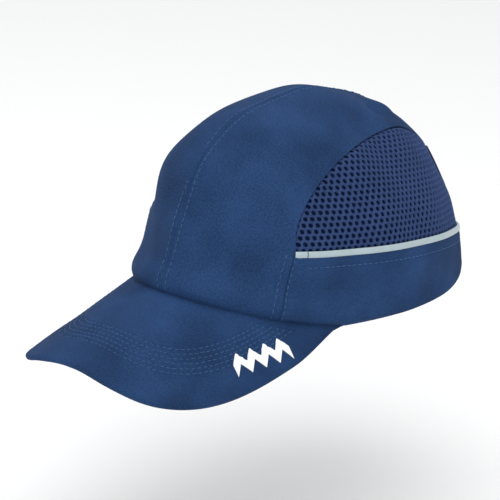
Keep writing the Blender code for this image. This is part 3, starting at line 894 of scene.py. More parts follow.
class BUMPCAP_OT_crown_panels(bpy.types.Operator):
    """Sew the two halves of the crown, from the peak over the top to the rear opening"""

    bl_idname = "bumpcap.crown_panels"
    bl_label = "Crown panels"

    def execute(self, context):
        rows, cols = 230, 84
        front_q = disc(0.0, 0.0)[1]
        top_q = rear_spot(np.array(0.0), np.array(BACK_RIM + ARCH_TALL))[1]
        centre = np.stack([np.zeros(rows), np.linspace(front_q, float(top_q), rows)], -1)
        arc = np.stack(mesh_arc(0.0, np.linspace(math.pi, MESH_REAR, 90)), -1)
        drop_z = np.linspace(REAR_Z - 0.001, float(pipe_height(REAR_Y)) - 0.0010, 12)
        drop = np.stack(side_spot(np.full(12, REAR_Y), drop_z), -1)
        tail_y = np.linspace(REAR_Y, PIPE_END_Y, 8)[1:]
        tail = np.stack(side_spot(tail_y, pipe_height(tail_y) - 0.0010), -1)
        outer = resample(np.concatenate([side_seam(-0.0001, 30), arc[1:], drop, tail]), rows)
        front = np.stack(disc(eased(cols) * SIDE_SEAM_FOOT, 0.0), -1)
        arch = np.stack(rear_spot(*arch_point(eased(cols) * TAIL_ANGLE, -0.001)), -1)
        spots = relaxed(coons(centre, outer, front, arch), 500)
        for end, mirror in sides():
            piece, points = cloth_piece(f"crown_{end}", spots, 0.0, CLOTH, mirror)
            finish_piece(piece, made("navy_twill", twill_cloth), "cap", "navy_twill", f"crown_panel_{end}")
            declare_sheet(points)
        return {"FINISHED"}


class BUMPCAP_OT_side_bands(bpy.types.Operator):
    """Add the twill bands below the piping, with their turned lower hems"""

    bl_idname = "bumpcap.side_bands"
    bl_label = "Side bands"

    def execute(self, context):
        cols = 220
        low_end = math.pi - math.asin(ARCH_HALF / RIM_WIDE / 1.07) - 0.02
        low = np.stack(disc(np.linspace(SIDE_SEAM_FOOT + 0.0004, low_end, cols), 0.0), -1)
        y = np.linspace(CORNER_Y, PIPE_END_Y, cols)
        high = np.stack(side_spot(y, pipe_height(y) - PIPE_HEIGHT + 0.0004), -1)
        front = side_seam(-0.0035, 50)
        share = eased(50)[:, None, None]
        spots = low[None] * (1 - share) + high[None] * share
        weight = np.clip(1 - np.linspace(0, 1, cols) * 8, 0, 1)[None, :, None]
        line = front[0] + (front[-1] - front[0]) * share[:, 0]
        spots = spots + (line[:, None] - spots[:, :1]) * weight
        for end, mirror in sides():
            points = hemmed(spots) - crown_normal(spots[..., 0], spots[..., 1]) * tuck(spots)
            points = mirror_points(points, mirror)
            piece = grid_piece(f"band_{end}", points)
            face_out(piece)
            thicken(piece, CLOTH)
            finish_piece(piece, made("navy_twill", twill_cloth), "cap", "navy_twill", f"side_band_{end}")
            declare_sheet(points)
        return {"FINISHED"}


def tuck(spots):
    """How deep the band's front end goes under the crown panel's edge."""
    at = crown(spots[..., 0], spots[..., 1])
    line = crown(*side_seam(0.0, 50).T)
    behind = at[..., 1] - np.interp(at[..., 2], line[:, 2], line[:, 1])
    return (0.0014 * np.clip((0.0006 - behind) / 0.0012, 0, 1))[..., None]


def hemmed(spots):
    """The band's places, with a fuller hem along the bottom and a ledge under the piping."""
    p, q = spots[..., 0], spots[..., 1]
    at = crown(p, q)
    rise = at[..., 2] - rim_height(polar(p, q)[0])
    hem = 0.0005 * np.exp(-((rise - 0.0035) / 0.0035) ** 2) - 0.0006 * np.exp(-(rise / 0.0009) ** 2)
    below = pipe_height(at[..., 1]) - PIPE_HEIGHT - at[..., 2]
    fold = 0.00035 * np.exp(-(below / 0.0042) ** 4)
    row = -0.00022 * np.exp(-((below - BAND_ROW) / 0.0006) ** 2)
    return cloth_at(p, q, -(hem + fold + row))


class BUMPCAP_OT_mesh_panels(bpy.types.Operator):
    """Knit the ventilation panels with real open cells over a dark backing"""

    bl_idname = "bumpcap.mesh_panels"
    bl_label = "Mesh panels"

    def execute(self, context):
        uv, faces = mesh_cells()
        spots = knit_map()(uv[:, :2])
        p, q = spots.T
        at = crown(p, q)
        edge = nearest(at, ARC_LINE[::2])
        seam = 0.0006 * np.exp(-(edge / 0.0042) ** 6) - 0.0013 * np.exp(-(edge / 0.0012) ** 2)
        base = at + crown_normal(p, q) * (relief(p, q) - MESH_DEPTH + uv[:, 2] + seam)[:, None]
        y, z = mesh_rim()
        share = np.linspace(0, 1, 24)[:, None]
        back_y = np.broadcast_to(y, (24, len(y)))
        back_low = pipe_height(y) - BACKING_DROP
        back_z = back_low + (z - back_low) * share
        back_spots = np.stack(side_spot(back_y, back_z), -1)
        for end, mirror in sides():
            piece = mesh_piece(f"mesh_{end}", mirror_points(base, mirror).tolist(), faces)
            write_uv(piece.data.uv_layers.new(name="UVMap"), piece.data, uv[:, :2])
            face_out(piece)
            finish_piece(piece, made("knit_mesh", knit_mesh), "cap", "navy_spacer_mesh",
                         f"mesh_panel_{end}", angle=75)
            laid_out = mirror_points(cloth_at(back_spots[..., 0], back_spots[..., 1], 0.001), mirror)
            declare_sheet(laid_out)
            back, points = cloth_piece(f"mesh_backing_{end}", back_spots, BACKING_DEPTH, 0.0003, mirror, 0)
            finish_piece(back, made("dark_backing", dark_backing), "cap", "navy_spacer_mesh")
            declare_sheet(points)
        return {"FINISHED"}


def mesh_rim(count=90):
    """y and z along the mesh panel's upper edge, from its front corner to its rear one."""
    angle = np.linspace(math.pi, MESH_REAR, count)
    y = MESH_MIDDLE + (MESH_LONG + 0.001) * np.cos(angle)
    return y, np.maximum(MESH_BASE + (MESH_TALL + 0.001) * np.sin(angle), pipe_height(y))


def knit_map():
    """A map from knit places (along a row, up from the piping) to disc places."""
    theta = np.radians(np.linspace(40, 172, 265))
    middle = np.argmin(np.abs(theta - math.radians(96)))
    share = np.linspace(0, 0.97, 260)
    t, s = np.meshgrid(theta, share, indexing="ij")
    at = crown(*disc(t, s))
    steps = np.linalg.norm(np.diff(at, axis=1), axis=-1)
    up = np.concatenate([np.zeros((len(theta), 1)), np.cumsum(steps, 1)], 1)
    start = np.array([np.interp(0.0, a[:, 2] - pipe_height(a[:, 1]), h) for a, h in zip(at, up)])
    levels = np.arange(-0.006, 0.090, 0.0017)
    rows = np.array([[np.interp(low + level, high, share) for low, high in zip(start, up)]
                     for level in levels])
    run = []
    for row in rows:
        line = crown(*disc(theta, row))
        along = np.concatenate([[0], np.cumsum(np.linalg.norm(np.diff(line, axis=0), axis=1))])
        run.append(along - along[middle])

    def place(uv):
        u, v = uv.T
        k = np.clip((v - levels[0]) / (levels[1] - levels[0]), 0, len(levels) - 1.001)
        low = k.astype(int)
        part = k - low
        angle, high = np.zeros(len(u)), np.zeros(len(u))
        for i in range(len(levels) - 1):
            here = low == i
            if here.any():
                for grid, ends in ((angle, (theta, theta)), (high, (rows[i], rows[i + 1]))):
                    a, b = [np.interp(u[here], run[i + k], ends[k]) for k in (0, 1)]
                    grid[here] = a * (1 - part[here]) + b * part[here]
        return np.stack(disc(angle, high), -1)

    return place


def mesh_cells():
    """Knit cells as (along, up, height) points and faces: each a ring of thread round a hole."""
    size = sizes()
    wide, tall = size.cell_wide, size.cell_tall
    corner = np.array([(0, 2 / 3), (0.5, 1 / 3), (0.5, -1 / 3), (0, -2 / 3), (-0.5, -1 / 3), (-0.5, 1 / 3)])
    ring = np.stack([corner, (corner + np.roll(corner, -1, axis=0)) / 2], 1).reshape(-1, 2) * (wide, tall)
    angle = np.arctan2(ring[:, 1] / tall, ring[:, 0] / wide)
    hole = np.stack([np.cos(angle) * wide * 0.345, np.sin(angle) * tall * 0.385], -1)
    layers = [(ring, 0.0), (ring * 0.62 + hole * 0.38, 0.00034), (ring * 0.22 + hole * 0.78, 0.00020),
              (hole * 0.98, -0.00030), (hole * 0.96, -0.00075)]
    place = knit_map()
    rows, cols = range(-1, 24), range(-26, 27)
    centres = np.array([((i + 0.5 * (j % 2)) * wide, j * tall) for j in rows for i in cols])
    at = crown(*place(centres).T)
    y, z = at[:, 1], at[:, 2]
    inside = ((y - MESH_MIDDLE) / (MESH_LONG + 0.002)) ** 2 + (
        np.maximum(0, z - MESH_BASE) / (MESH_TALL + 0.002)) ** 2 < 1
    inside &= (z > pipe_height(y) - 0.0025) & (y < REAR_Y + 0.0015)
    points, faces = [], []
    for centre in centres[inside]:
        start = len(points)
        for loop, height in layers:
            points += [(centre[0] + x, centre[1] + up, height) for x, up in loop]
        for level in range(len(layers) - 1):
            a, b = start + level * 12, start + (level + 1) * 12
            faces += [(a + k, a + (k + 1) % 12, b + (k + 1) % 12, b + k) for k in range(12)]
    points = np.array(points)
    _, first, back = np.unique(np.round(points * 1e6).astype(int), axis=0,
                               return_index=True, return_inverse=True)
    back = back.reshape(-1)
    return points[first], [tuple(int(back[k]) for k in f) for f in faces]


class BUMPCAP_OT_piping(bpy.types.Operator):
    """Lay the reflective piping between mesh and band"""

    bl_idname = "bumpcap.piping"
    bl_label = "Piping"

    def execute(self, context):
        y = np.linspace(CORNER_Y - 0.0003, PIPE_END_Y, 260)
        middle = np.stack(side_spot(y, pipe_height(y) - PIPE_HEIGHT / 2), -1)
        line, normals = crown_line(middle, -0.0002)
        sunk = 0.0005 * np.clip((CORNER_Y + 0.020 - y) / 0.020, 0, 1)
        line = line - normals * sunk[:, None]
        side, up = frames(line, normals)
        bead = oval(PIPE_HEIGHT / 2 - 0.0001, 0.0010, 18, 2.6)
        for end, mirror in sides():
            piece = tube(f"piping_{end}", *(mirror_points(part, mirror) for part in (line, side, up)), bead)
            finish_piece(piece, made("reflective_tape", reflective_tape), "cap", "reflective_piping",
                         f"reflective_piping_{end}")
            at = np.argmin(np.abs(y - CORNER_Y - 0.0052))
            turn = np.linspace(-1.15, 1.15, 9)[:, None]
            over = side[at] * np.sin(turn) * (PIPE_HEIGHT / 2) + up[at] * np.cos(turn) * 0.0011
            tack = mirror_points(line[at] + over, mirror)
            tangent = np.broadcast_to(mirror_points(unit(line[at + 1] - line[at]), mirror), tack.shape)
            lift = np.cross(unit(np.gradient(tack, axis=0)), tangent)
            thread = tube(f"piping_tack_{end}", tack, tangent, lift, oval(0.00022, 0.00022, 6, 2.0))
            finish_piece(thread, made("dark_backing", dark_backing), "cap", "navy_twill")
        return {"FINISHED"}


class BUMPCAP_OT_peak(bpy.types.Operator):
    """Make the peak: quilted top cover with its rolled edge, and the under cover"""

    bl_idname = "bumpcap.peak"
    bl_label = "Peak"

    def execute(self, context):
        turn = np.linspace(-1, 1, 220)
        theta, sweep = turn * JOINT_END, turn * math.pi / 2
        x0, y0 = rim_plan(theta)
        x0, y0 = x0 * 0.985, y0 * 0.985
        edge = sizes().peak_edge
        ears = 0.0030 * np.clip((np.abs(turn) - 0.90) / 0.10, 0, 1) ** 2
        x1, y1 = peak_outline(sweep, edge, edge + ears)
        share = eased(110, 0.5)[:, None]
        x, y = x0 + (x1 - x0) * share, y0 + (y1 - y0) * share
        top = peak_at(x, y, 0.0)
        out = unit(np.stack([x1 - x0, y1 - y0], -1))
        rim, normal = top[-1], peak_normal(x1)
        away = np.concatenate([out, np.zeros((len(out), 1))], 1)
        away = unit(away - normal * np.sum(away * normal, -1, keepdims=True))
        roll = [rim - normal * edge + normal * edge * math.cos(a) + away * edge * math.sin(a)
                for a in np.radians(np.linspace(15, 180, 12))]
        lip = [roll[-1] - away * step for step in (0.0012, 0.0030)]
        points = np.concatenate([top, np.array(roll), np.array(lip)])
        cover = grid_piece("peak_cover", points)
        face_out(cover, (0, -0.15, -0.2))
        finish_piece(cover, made("navy_twill", twill_cloth), "cap", "navy_twill", "peak_top_cover")
        declare_sheet(points)
        shares = eased(70, 0.5)[:, None]
        xu, yu = x0 + (x1 * 0.985 - x0) * shares, y0 + (y1 + 0.0012 - y0) * shares
        lower = np.stack([xu, yu, peak_height(xu, yu)], -1)
        lower = lower - peak_normal(xu) * (2 * edge + 0.0002 + peak_relief(xu, yu) * -0.7)[..., None]
        under = grid_piece("peak_lining", lower)
        face_out(under, (0, -0.15, 0.3))
        thicken(under, PEAK_LINING, 0.0003)
        finish_piece(under, made("navy_twill", twill_cloth), "cap", "navy_twill", "peak_under_cover")
        declare_sheet(lower)
        x2, y2 = peak_outline(sweep * BOARD_REACH, BOARD_INSET, BOARD_INSET)
        x3, y3 = [side * BOARD_GAP for side in rim_plan(theta * BOARD_REACH)]
        xb, yb = x3 + (x2 - x3) * shares, y3 + (y2 - y3) * shares
        middle = np.stack([xb, yb, peak_height(xb, yb)], -1) - peak_normal(xb) * PEAK_BOARD_DEPTH
        board = grid_piece("peak_stiffener", middle)
        face_out(board, (0, -0.15, -0.2))
        thicken(board, PEAK_BOARD, 0)
        finish_piece(board, made("board_plastic", board_plastic), "cap", "board_plastic", "peak_board")
        return {"FINISHED"}


class BUMPCAP_OT_print(bpy.types.Operator):
    """Press the plain zigzag print on the peak's left side"""

    bl_idname = "bumpcap.print"
    bl_label = "Print"

    def execute(self, context):
        steps = 10
        k = np.linspace(0, PRINT_TEETH, PRINT_TEETH * steps + 1)
        fold = np.abs((k % 2) - 1)
        swing = PRINT_TALL * (fold - 0.5) * 0.56
        along = (k / PRINT_TEETH - 0.5) * PRINT_LONG
        across = swing[:, None] + np.linspace(-0.30, 0.30, 7)[None] * PRINT_TALL
        x = PRINT_X + across * math.cos(PRINT_TURN) - along[:, None] * math.sin(PRINT_TURN)
        y = PRINT_Y + across * math.sin(PRINT_TURN) + along[:, None] * math.cos(PRINT_TURN)
        piece = grid_piece("peak_mark", peak_at(x, y, -PRINT_LIFT))
        face_out(piece, (0, -0.15, -0.2))
        thicken(piece, PRINT_FILM, 0)
        finish_piece(piece, made("white_film", white_film), "cap", "white_print", "peak_print")
        return {"FINISHED"}


class BUMPCAP_OT_stitching(bpy.types.Operator):
    """Sew the visible rows of stitches on crown, bands and peak"""

    bl_idname = "bumpcap.stitching"
    bl_label = "Stitching"

    def execute(self, context):
        size = sizes()
        crown_rows, band_rows = [], []
        start = disc(0.0, 0.02)[1]
        stop = rear_spot(np.array(0.0), np.array(BACK_RIM + ARCH_TALL + 0.003))[1]
        q = np.linspace(start, float(stop), 160)
        for x in (-size.twin, size.twin):
            crown_rows.append(crown_line(np.stack(across_spot(x, q), -1)))
        for _, mirror in sides():
            for offset in (0.0009, -0.0050):
                crown_rows.append(crown_line(side_seam(offset, 40)[1:-1], 0.0, mirror))
            y = np.linspace(CORNER_Y + 0.004, PIPE_END_Y - 0.002, 120)
            spots = np.stack(side_spot(y, pipe_height(y) - PIPE_HEIGHT - BAND_ROW), -1)
            band_rows.append(crown_line(spots, 0.0001, mirror))
        stitched("crown_stitches", crown_rows)
        stitched("band_stitches", band_rows, seed=5)
        peak_rows = []
        for k in range(PEAK_ROWS):
            x, y = resample(peak_row(k), 200).T
            peak_rows.append((peak_at(x, y, 0.0), peak_normal(x)))
        stitched("peak_stitches", peak_rows, 0.00012, seed=9)
        return {"FINISHED"}


class BUMPCAP_OT_rear_opening(bpy.types.Operator):
    """Bind the rear opening with a folded tape"""

    bl_idname = "bumpcap.rear_opening"
    bl_label = "Rear opening"

    def execute(self, context):
        angle = np.linspace(-BINDING_TURN, BINDING_TURN, 180)
        x, z = arch_point(np.abs(angle), -0.0008)
        p, q = rear_spot(x, z)
        line = crown(p, q) - crown_normal(p, q) * 0.0006
        normals = crown_normal(p, q)
        flip = np.where(angle < 0, -1.0, 1.0)
        line[:, 0] *= flip
        normals[:, 0] *= flip
        side, up = frames(line, normals)
        piece = tube("opening_binding", line, side, up, oval(BINDING_HALF, BINDING_THICK, 18, 3.0))
        finish_piece(piece, made("woven_tape", woven_tape), "cap", "seam_tape_cloth", "rear_opening_binding")
        edge = line + side * 0.0024 * np.sign(np.sum(side[90] * np.array([0, 0, 1]))) + up * 0.0014
        stitched("binding_stitches", [(edge, normals)], 0.0, seed=11)
        return {"FINISHED"}


class BUMPCAP_OT_inner_tapes(bpy.types.Operator):
    """Cover the seams inside the crown with tape"""

    bl_idname = "bumpcap.inner_tapes"
    bl_label = "Inner tapes"

    def execute(self, context):
        tape = made("woven_tape", woven_tape)
        back = rear_spot(np.array(0.0), np.array(BACK_RIM + ARCH_TALL + 0.010))[1]
        q = np.linspace(disc(0.0, 0.16)[1], float(back), 120)
        half = np.linspace(-0.0045, 0.0045, 9) / RIM_WIDE
        spots = np.stack(np.meshgrid(half, q), -1)
        piece, points = cloth_piece("centre_tape", spots, 0.0021, TAPE_THICK, rounding=0)
        finish_piece(piece, tape, "cap", "seam_tape_cloth", "centre_seam_tape")
        declare_sheet(points)
        angle = np.linspace(math.radians(55), math.radians(160), 110)
        spots = np.stack([np.stack(mesh_arc(grow, angle), -1) for grow in np.linspace(-0.005, 0.006, 8)], 1)
        for end, mirror in sides():
            piece, points = cloth_piece(f"mesh_tape_{end}", spots, 0.0040, TAPE_THICK, mirror, 0)
            finish_piece(piece, tape, "cap", "seam_tape_cloth", f"mesh_seam_tape_{end}")
            declare_sheet(points)
        theta = np.linspace(-math.radians(60), math.radians(60), 120)
        spots = np.stack([np.stack(disc(theta, s), -1) for s in np.linspace(0.012, 0.11, 10)], 1)
        piece, points = cloth_piece("joint_tape", spots, 0.0018, 0.0008, rounding=0)
        finish_piece(piece, tape, "cap", "seam_tape_cloth", "peak_joint_tape")
        declare_sheet(points)
        return {"FINISHED"}


class BUMPCAP_OT_sweatband(bpy.types.Operator):
    """Fold the padded sweatband round the inside of the rim, with its blank label"""

    bl_idname = "bumpcap.sweatband"
    bl_label = "Sweatband"

    def execute(self, context):
        theta = np.linspace(-SWEAT_TURN, SWEAT_TURN, 240)
        low, high = rim_height(theta) + SWEAT_LOW, rim_height(theta) + SWEAT_HIGH
        turn = np.linspace(0, 2 * math.pi, 33)
        points = []
        for a in turn:
            lift = 0.5 - 0.5 * np.sign(math.cos(a)) * abs(math.cos(a)) ** 0.55
            z = low + (high - low) * lift
            p, q = disc(theta, height_share(theta, z))
            swell = 0.0013 * np.sign(math.sin(a)) * abs(math.sin(a)) ** 0.6
            ripple = 0.00018 * np.sin(theta * 90 + lift * 3) * max(0.0, math.sin(a))
            points.append(crown(p, q) - crown_normal(p, q) * (SWEAT_DEPTH + swell + ripple)[:, None])
        points = np.stack(points, 1)
        piece = grid_piece("sweatband_roll", points, close_across=True)
        outward(piece)
        finish_piece(piece, made("towelling", towelling), "cap", "sweatband_cloth", "sweatband")
        rows = []
        for lift in SWEAT_ROWS:
            p, q = disc(theta, height_share(theta, rim_height(theta) + lift))
            normal = crown_normal(p, q)
            rows.append((crown(p, q) - normal * 0.0060, -normal))
        stitched("sweatband_stitches", rows, 0.0, seed=13)
        around = np.linspace(math.radians(128), math.radians(141), 24)
        z = np.linspace(0.006, 0.022, 24)
        t, h = np.meshgrid(around, z)
        p, q = disc(t, height_share(t, h))
        flat = crown(p, q) - crown_normal(p, q) * 0.0066
        label = grid_piece("label", flat)
        face_out(label)
        thicken(label, 0.0003, 0)
        finish_piece(label, made("satin_label", satin_label), "cap", "label_cloth", "blank_label")
        declare_sheet(flat)
        return {"FINISHED"}


def shell_edge(theta):
    return round_value(theta, 0.056, 0.040, 0.055)


class BUMPCAP_OT_shell(bpy.types.Operator):
    """Mould the impact shell with its ribs and vent slots"""

    bl_idname = "bumpcap.shell"
    bl_label = "Impact shell"

    def execute(self, context):
        around, up = 120, 36
        theta = np.linspace(0, 2 * math.pi, around, endpoint=False)
        low = np.sqrt(1 - height_share(theta, shell_edge(theta)))
        share = np.append(1 - np.arange(up) / up, 0.0)
        rho = low[None] * share[:, None]
        p, q = rho * np.sin(theta), -rho * np.cos(theta)
        at = crown(p, q)
        rib = sum(0.0009 * np.exp(-((at[..., 0] - x) / 0.0022) ** 6) for x in (-0.030, 0.0, 0.030))
        lip = 0.0006 * np.exp(-((share[:, None] - 1) / 0.03) ** 2)
        rib = rib * np.clip((at[..., 2] - 0.075) / 0.01, 0, 1)
        points = at - crown_normal(p, q) * (SHELL_DEPTH - rib - lip)[..., None]
        verts = points[:-1].reshape(-1, 3).tolist() + [points[-1, 0].tolist()]
        faces = []
        for j in range(up - 1):
            for i in range(around):
                k = (i + 1) % around
                # The first stretch, behind the brow, has no slot.
                slot = j in SLOT_ROWS and i >= SLOT_EVERY and i % SLOT_EVERY in SLOT_COLUMNS
                if not slot:
                    faces.append((j * around + i, j * around + k, (j + 1) * around + k, (j + 1) * around + i))
        last = (up - 1) * around
        faces += [(last + i, last + (i + 1) % around, up * around) for i in range(around)]
        piece = mesh_piece("shell", verts, faces)
        face_out(piece)
        thicken(piece, SHELL_WALL, 0.0005)
        finish_piece(piece, made("moulded_abs", moulded_abs), "insert", "shell_abs", "impact_shell", angle=50)
        return {"FINISHED"}


def pad_piece(name, node, spots):
    """A foam pad: flat against the shell, crowned towards the head, with rounded edges."""
    rows, cols = spots.shape[:2]
    p, q = spots[..., 0], spots[..., 1]
    base, normal = crown(p, q), crown_normal(p, q)
    u = np.linspace(-1, 1, cols)[None]
    v = np.linspace(-1, 1, rows)[:, None]
    dome = np.clip((1 - u ** 8) * (1 - v ** 8), 0, 1) ** 0.5
    groove = 0.0012 * (np.exp(-(u / 0.05) ** 2) + np.exp(-((np.abs(v) - 0.45) / 0.05) ** 2))
    near = base - normal * (PAD_DEPTH - 0.0002)
    far = base - normal * (PAD_DEPTH + 0.0012 + (PAD_THICK - 0.0012) * dome - groove * dome)[..., None]
    points = np.concatenate([near, far[::-1]], 0)
    ring = np.concatenate([points, points[:1]], 0)
    piece = grid_piece(name, ring, close_across=True)
    close_sides(piece, near, far)
    finish_piece(piece, made("closed_foam", closed_foam), "insert", "pad_foam", node, angle=70)
    return piece


def close_sides(piece, near, far):
    """Bridges a pad's two open side edges and turns its faces outward."""
    mesh = piece.data
    bm = bmesh.new()
    bm.from_mesh(mesh)
    bmesh.ops.remove_doubles(bm, verts=bm.verts, dist=1e-6)
    wide = [f for f in bm.faces if len(f.verts) > 4]
    bmesh.ops.delete(bm, geom=wide, context="FACES_ONLY")
    find = {tuple(np.round(v.co, 5)): v for v in bm.verts}
    for column in (0, -1):
        a = [find.get(tuple(np.round(Vector(c), 5))) for c in near[:, column]]
        b = [find.get(tuple(np.round(Vector(c), 5))) for c in far[:, column]]
        for k in range(len(a) - 1):
            corners = (a[k], a[k + 1], b[k + 1], b[k])
            if all(corners) and len(set(corners)) == 4 and not bm.faces.get(corners):
                bm.faces.new(corners)
    bmesh.ops.recalc_face_normals(bm, faces=bm.faces)
    bm.to_mesh(mesh)
    bm.free()


class BUMPCAP_OT_pads(bpy.types.Operator):
    """Glue the foam pads inside the shell"""

    bl_idname = "bumpcap.pads"
    bl_label = "Foam pads"

    def execute(self, context):
        fan = (("front_foam", "front_pad", 0.0, 34, 0.42, 0.68),
               ("rear_foam", "rear_pad", 180.0, 26, 0.50, 0.69),
               ("side_foam_left", "side_pad_left", 90.0, 24, 0.42, 0.66),
               ("side_foam_right", "side_pad_right", -90.0, 24, 0.42, 0.66))
        for name, node, middle, spread, low, high in fan:
            t = np.radians(np.linspace(middle - spread, middle + spread, 56))
            spots = np.stack([np.stack(disc(t, s), -1) for s in np.linspace(low, high, 30)], 0)
            pad_piece(name, node, spots)
        p, q = np.meshgrid(np.linspace(-0.32, 0.32, 44), np.linspace(-0.42, 0.42, 56))
        pad_piece("crown_foam", "crown_pad", np.stack([p, q], -1))
        return {"FINISHED"}


def strap_spot(x, radius, z):
    angle = np.arcsin(x / STRAP_RADIUS)
    return np.stack([radius * np.sin(angle), STRAP_AXIS_Y + radius * np.cos(angle), z + 0 * x], -1)


def strap_normal(x):
    """Directions out of the strap's ring at x."""
    angle = np.arcsin(x / STRAP_RADIUS)
    return np.stack([np.sin(angle), np.cos(angle), 0 * x], -1)


def strap_band(name, x, radius):
    """Webbing carried round the strap's ring, with rounded edges."""
    middle = strap_spot(x, radius + STRAP_THICK / 2, np.full_like(x, (STRAP_LOW + STRAP_HIGH) / 2))
    normals = strap_normal(x)
    side, up = frames(middle, normals)
    return tube(name, middle, side, up, oval((STRAP_HIGH - STRAP_LOW) / 2, STRAP_THICK / 2, 28, 6.0))


class BUMPCAP_OT_strap(bpy.types.Operator):
    """Weave the rear strap with its hook and loop patches"""

    bl_idname = "bumpcap.strap"
    bl_label = "Rear strap"

    def execute(self, context):
        webbing = made("webbing", lambda name: woven_tape(name, colours().webbing, 0.0013))
        hooks = made("hook_tape", lambda name: touch_tape(name, (0.012, 0.014, 0.022), 1500.0))
        loops = made("loop_tape", lambda name: touch_tape(name, (0.020, 0.026, 0.044), 900.0))
        left = strap_band("strap_fixed", np.linspace(-0.0060, 0.0455, 90), STRAP_RADIUS)
        finish_piece(left, webbing, "cap", "strap_webbing", "strap_left")
        x = np.concatenate([np.linspace(-0.0460, -0.0240, 40), np.linspace(-0.0235, -0.0175, 24),
                            np.linspace(-0.0170, 0.0145, 60)])
        lift = np.clip((x + 0.0235) / 0.006, 0, 1)
        radius = STRAP_RADIUS + STRAP_STEP * lift * lift * (3 - 2 * lift)
        right = strap_band("strap_pull", x, radius)
        finish_piece(right, webbing, None, "strap_webbing", "strap_root_right", "strap_tongue")
        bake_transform(right)
        long_x, tall_z = np.linspace(*TONGUE_ROWS_X, 40), np.linspace(*TONGUE_ROWS_Z, 20)
        runs = [(long_x, np.full_like(long_x, z)) for z in TONGUE_ROWS_Z]
        runs += [(np.full_like(tall_z, x), tall_z) for x in TONGUE_ROWS_X]
        stitch_radius = STRAP_RADIUS + STRAP_STEP + STRAP_THICK + 0.00005
        lines = [(strap_spot(x, stitch_radius, z), strap_normal(x)) for x, z in runs]
        stitched("tongue_stitches", lines, 0.0, "strap_flap", 17)
        for node, mat in (("strap_hook_patch", hooks), ("strap_loop_patch", loops),
                          ("shell_hook_patch_front", hooks), ("shell_hook_patch_rear", hooks),
                          ("crown_loop_patch_front", loops), ("crown_loop_patch_rear", loops)):
            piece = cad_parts[node]
            piece.data.materials.clear()
            piece.data.materials.append(mat)
        return {"FINISHED"}


class BUMPCAP_OT_stage(bpy.types.Operator):
    """Set the pale floor, the soft lights and the camera"""

    bl_idname = "bumpcap.stage"
    bl_label = "Stage"

    azimuth: FloatProperty(name="Azimuth", description="Camera's turn round the cap",
                           default=math.radians(42.0), subtype="ANGLE")
    elevation: FloatProperty(name="Elevation", description="Camera's height angle",
                             default=math.radians(18.97), subtype="ANGLE")
    roll: FloatProperty(name="Roll", description="Camera's tilt about its view", default=math.radians(1.32),
                        subtype="ANGLE")
    distance: FloatProperty(name="Distance", description="Camera's distance", default=1.30, unit="LENGTH")
    lens: FloatProperty(name="Lens", description="Focal length in millimetres", default=163.0)

    def execute(self, context):
        aim = Vector((-0.0190, -0.0181, 0.0191))
        a, e = self.azimuth, self.elevation
        back = Vector((math.sin(a) * math.cos(e), -math.cos(a) * math.cos(e), math.sin(e)))
        clear_selection()
        bpy.ops.object.camera_add(location=aim + back * self.distance)
        camera = bpy.context.object
        camera.rotation_mode = "QUATERNION"
        camera.rotation_quaternion = ((-back).to_track_quat("-Z", "Y")
                                      @ Matrix.Rotation(self.roll, 3, "Z").to_quaternion())
        camera.data.lens = self.lens
        camera.data.sensor_width = 36
        camera.data.clip_start, camera.data.clip_end = 0.05, 50
        context.scene.camera = camera
        self.floor()
        self.lights(context)
        return {"FINISHED"}

    def floor(self):
        bpy.ops.mesh.primitive_plane_add(size=14, location=(0, 0, FLOOR_Z))
        floor = bpy.context.object
        floor.name = "floor"
        mat = bpy.data.materials.new("floor_paper")
        mat.use_nodes = True
        shader = mat.node_tree.nodes["Principled BSDF"]
        shader.inputs["Base Color"].default_value = (0.95, 0.95, 0.95, 1)
        shader.inputs["Roughness"].default_value = 0.9
        floor.data.materials.append(mat)

    def lights(self, context):
        world = bpy.data.worlds.new("studio")
        world.use_nodes = True
        world.node_tree.nodes["Background"].inputs[0].default_value = (0.99, 0.995, 1.0, 1)
        world.node_tree.nodes["Background"].inputs[1].default_value = 0.84
        context.scene.world = world
        context.scene.view_settings.view_transform = "Standard"
        for name, place, power, size in (("top_light", (0.15, -0.25, 1.3), 7.5, 1.3),
                                         ("key_light", (1.1, -1.3, 0.9), 5.0, 1.0),
                                         ("fill_light", (-1.4, -0.6, 0.7), 2.6, 1.2)):
            bpy.ops.object.light_add(type="AREA", location=place)
            light = bpy.context.object
            light.name = name
            light.data.energy = power
            light.data.size = size
            light.rotation_mode = "QUATERNION"
            light.rotation_quaternion = (Vector((0, 0, 0.05)) - light.location).to_track_quat("-Z", "Y")


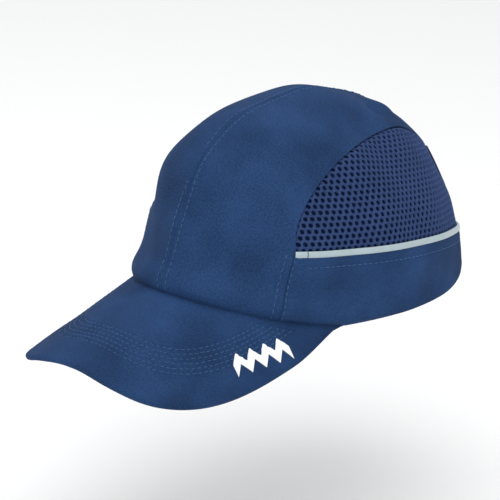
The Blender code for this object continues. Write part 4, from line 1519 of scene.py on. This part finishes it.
OPERATORS = (
    BUMPCAP_OT_stage, BUMPCAP_OT_crown_panels, BUMPCAP_OT_side_bands, BUMPCAP_OT_mesh_panels,
    BUMPCAP_OT_piping, BUMPCAP_OT_peak, BUMPCAP_OT_print, BUMPCAP_OT_stitching, BUMPCAP_OT_rear_opening,
    BUMPCAP_OT_inner_tapes, BUMPCAP_OT_sweatband, BUMPCAP_OT_shell, BUMPCAP_OT_pads, BUMPCAP_OT_strap,
)


class BUMPCAP_PT_panel(bpy.types.Panel):
    """Lists the cap's operators, sizes and colours"""

    bl_label = "Bump Cap"
    bl_idname = "BUMPCAP_PT_panel"
    bl_space_type = "VIEW_3D"
    bl_region_type = "UI"
    bl_category = "Bump Cap"

    def draw(self, context):
        for kind in OPERATORS:
            self.layout.operator(kind.bl_idname)
        for group in (context.scene.bump_cap_sizes, context.scene.bump_cap_colours):
            box = self.layout.box()
            for name in group.__annotations__:
                box.prop(group, name)


CLASSES = (BumpCapSizes, BumpCapColours, *OPERATORS, BUMPCAP_PT_panel)


def register():
    for kind in CLASSES:
        bpy.utils.register_class(kind)
    bpy.types.Scene.bump_cap_sizes = PointerProperty(type=BumpCapSizes)
    bpy.types.Scene.bump_cap_colours = PointerProperty(type=BumpCapColours)


def unregister():
    del bpy.types.Scene.bump_cap_colours
    del bpy.types.Scene.bump_cap_sizes
    for kind in reversed(CLASSES):
        bpy.utils.unregister_class(kind)


def main():
    register()
    bpy.ops.bumpcap.stage()
    bpy.ops.bumpcap.crown_panels()
    bpy.ops.bumpcap.side_bands()
    bpy.ops.bumpcap.mesh_panels()
    bpy.ops.bumpcap.piping()
    bpy.ops.bumpcap.peak()
    bpy.ops.bumpcap.print()
    bpy.ops.bumpcap.stitching()
    bpy.ops.bumpcap.rear_opening()
    bpy.ops.bumpcap.inner_tapes()
    bpy.ops.bumpcap.sweatband()
    bpy.ops.bumpcap.shell()
    bpy.ops.bumpcap.pads()
    bpy.ops.bumpcap.strap()


if __name__ == "__main__":
    main()
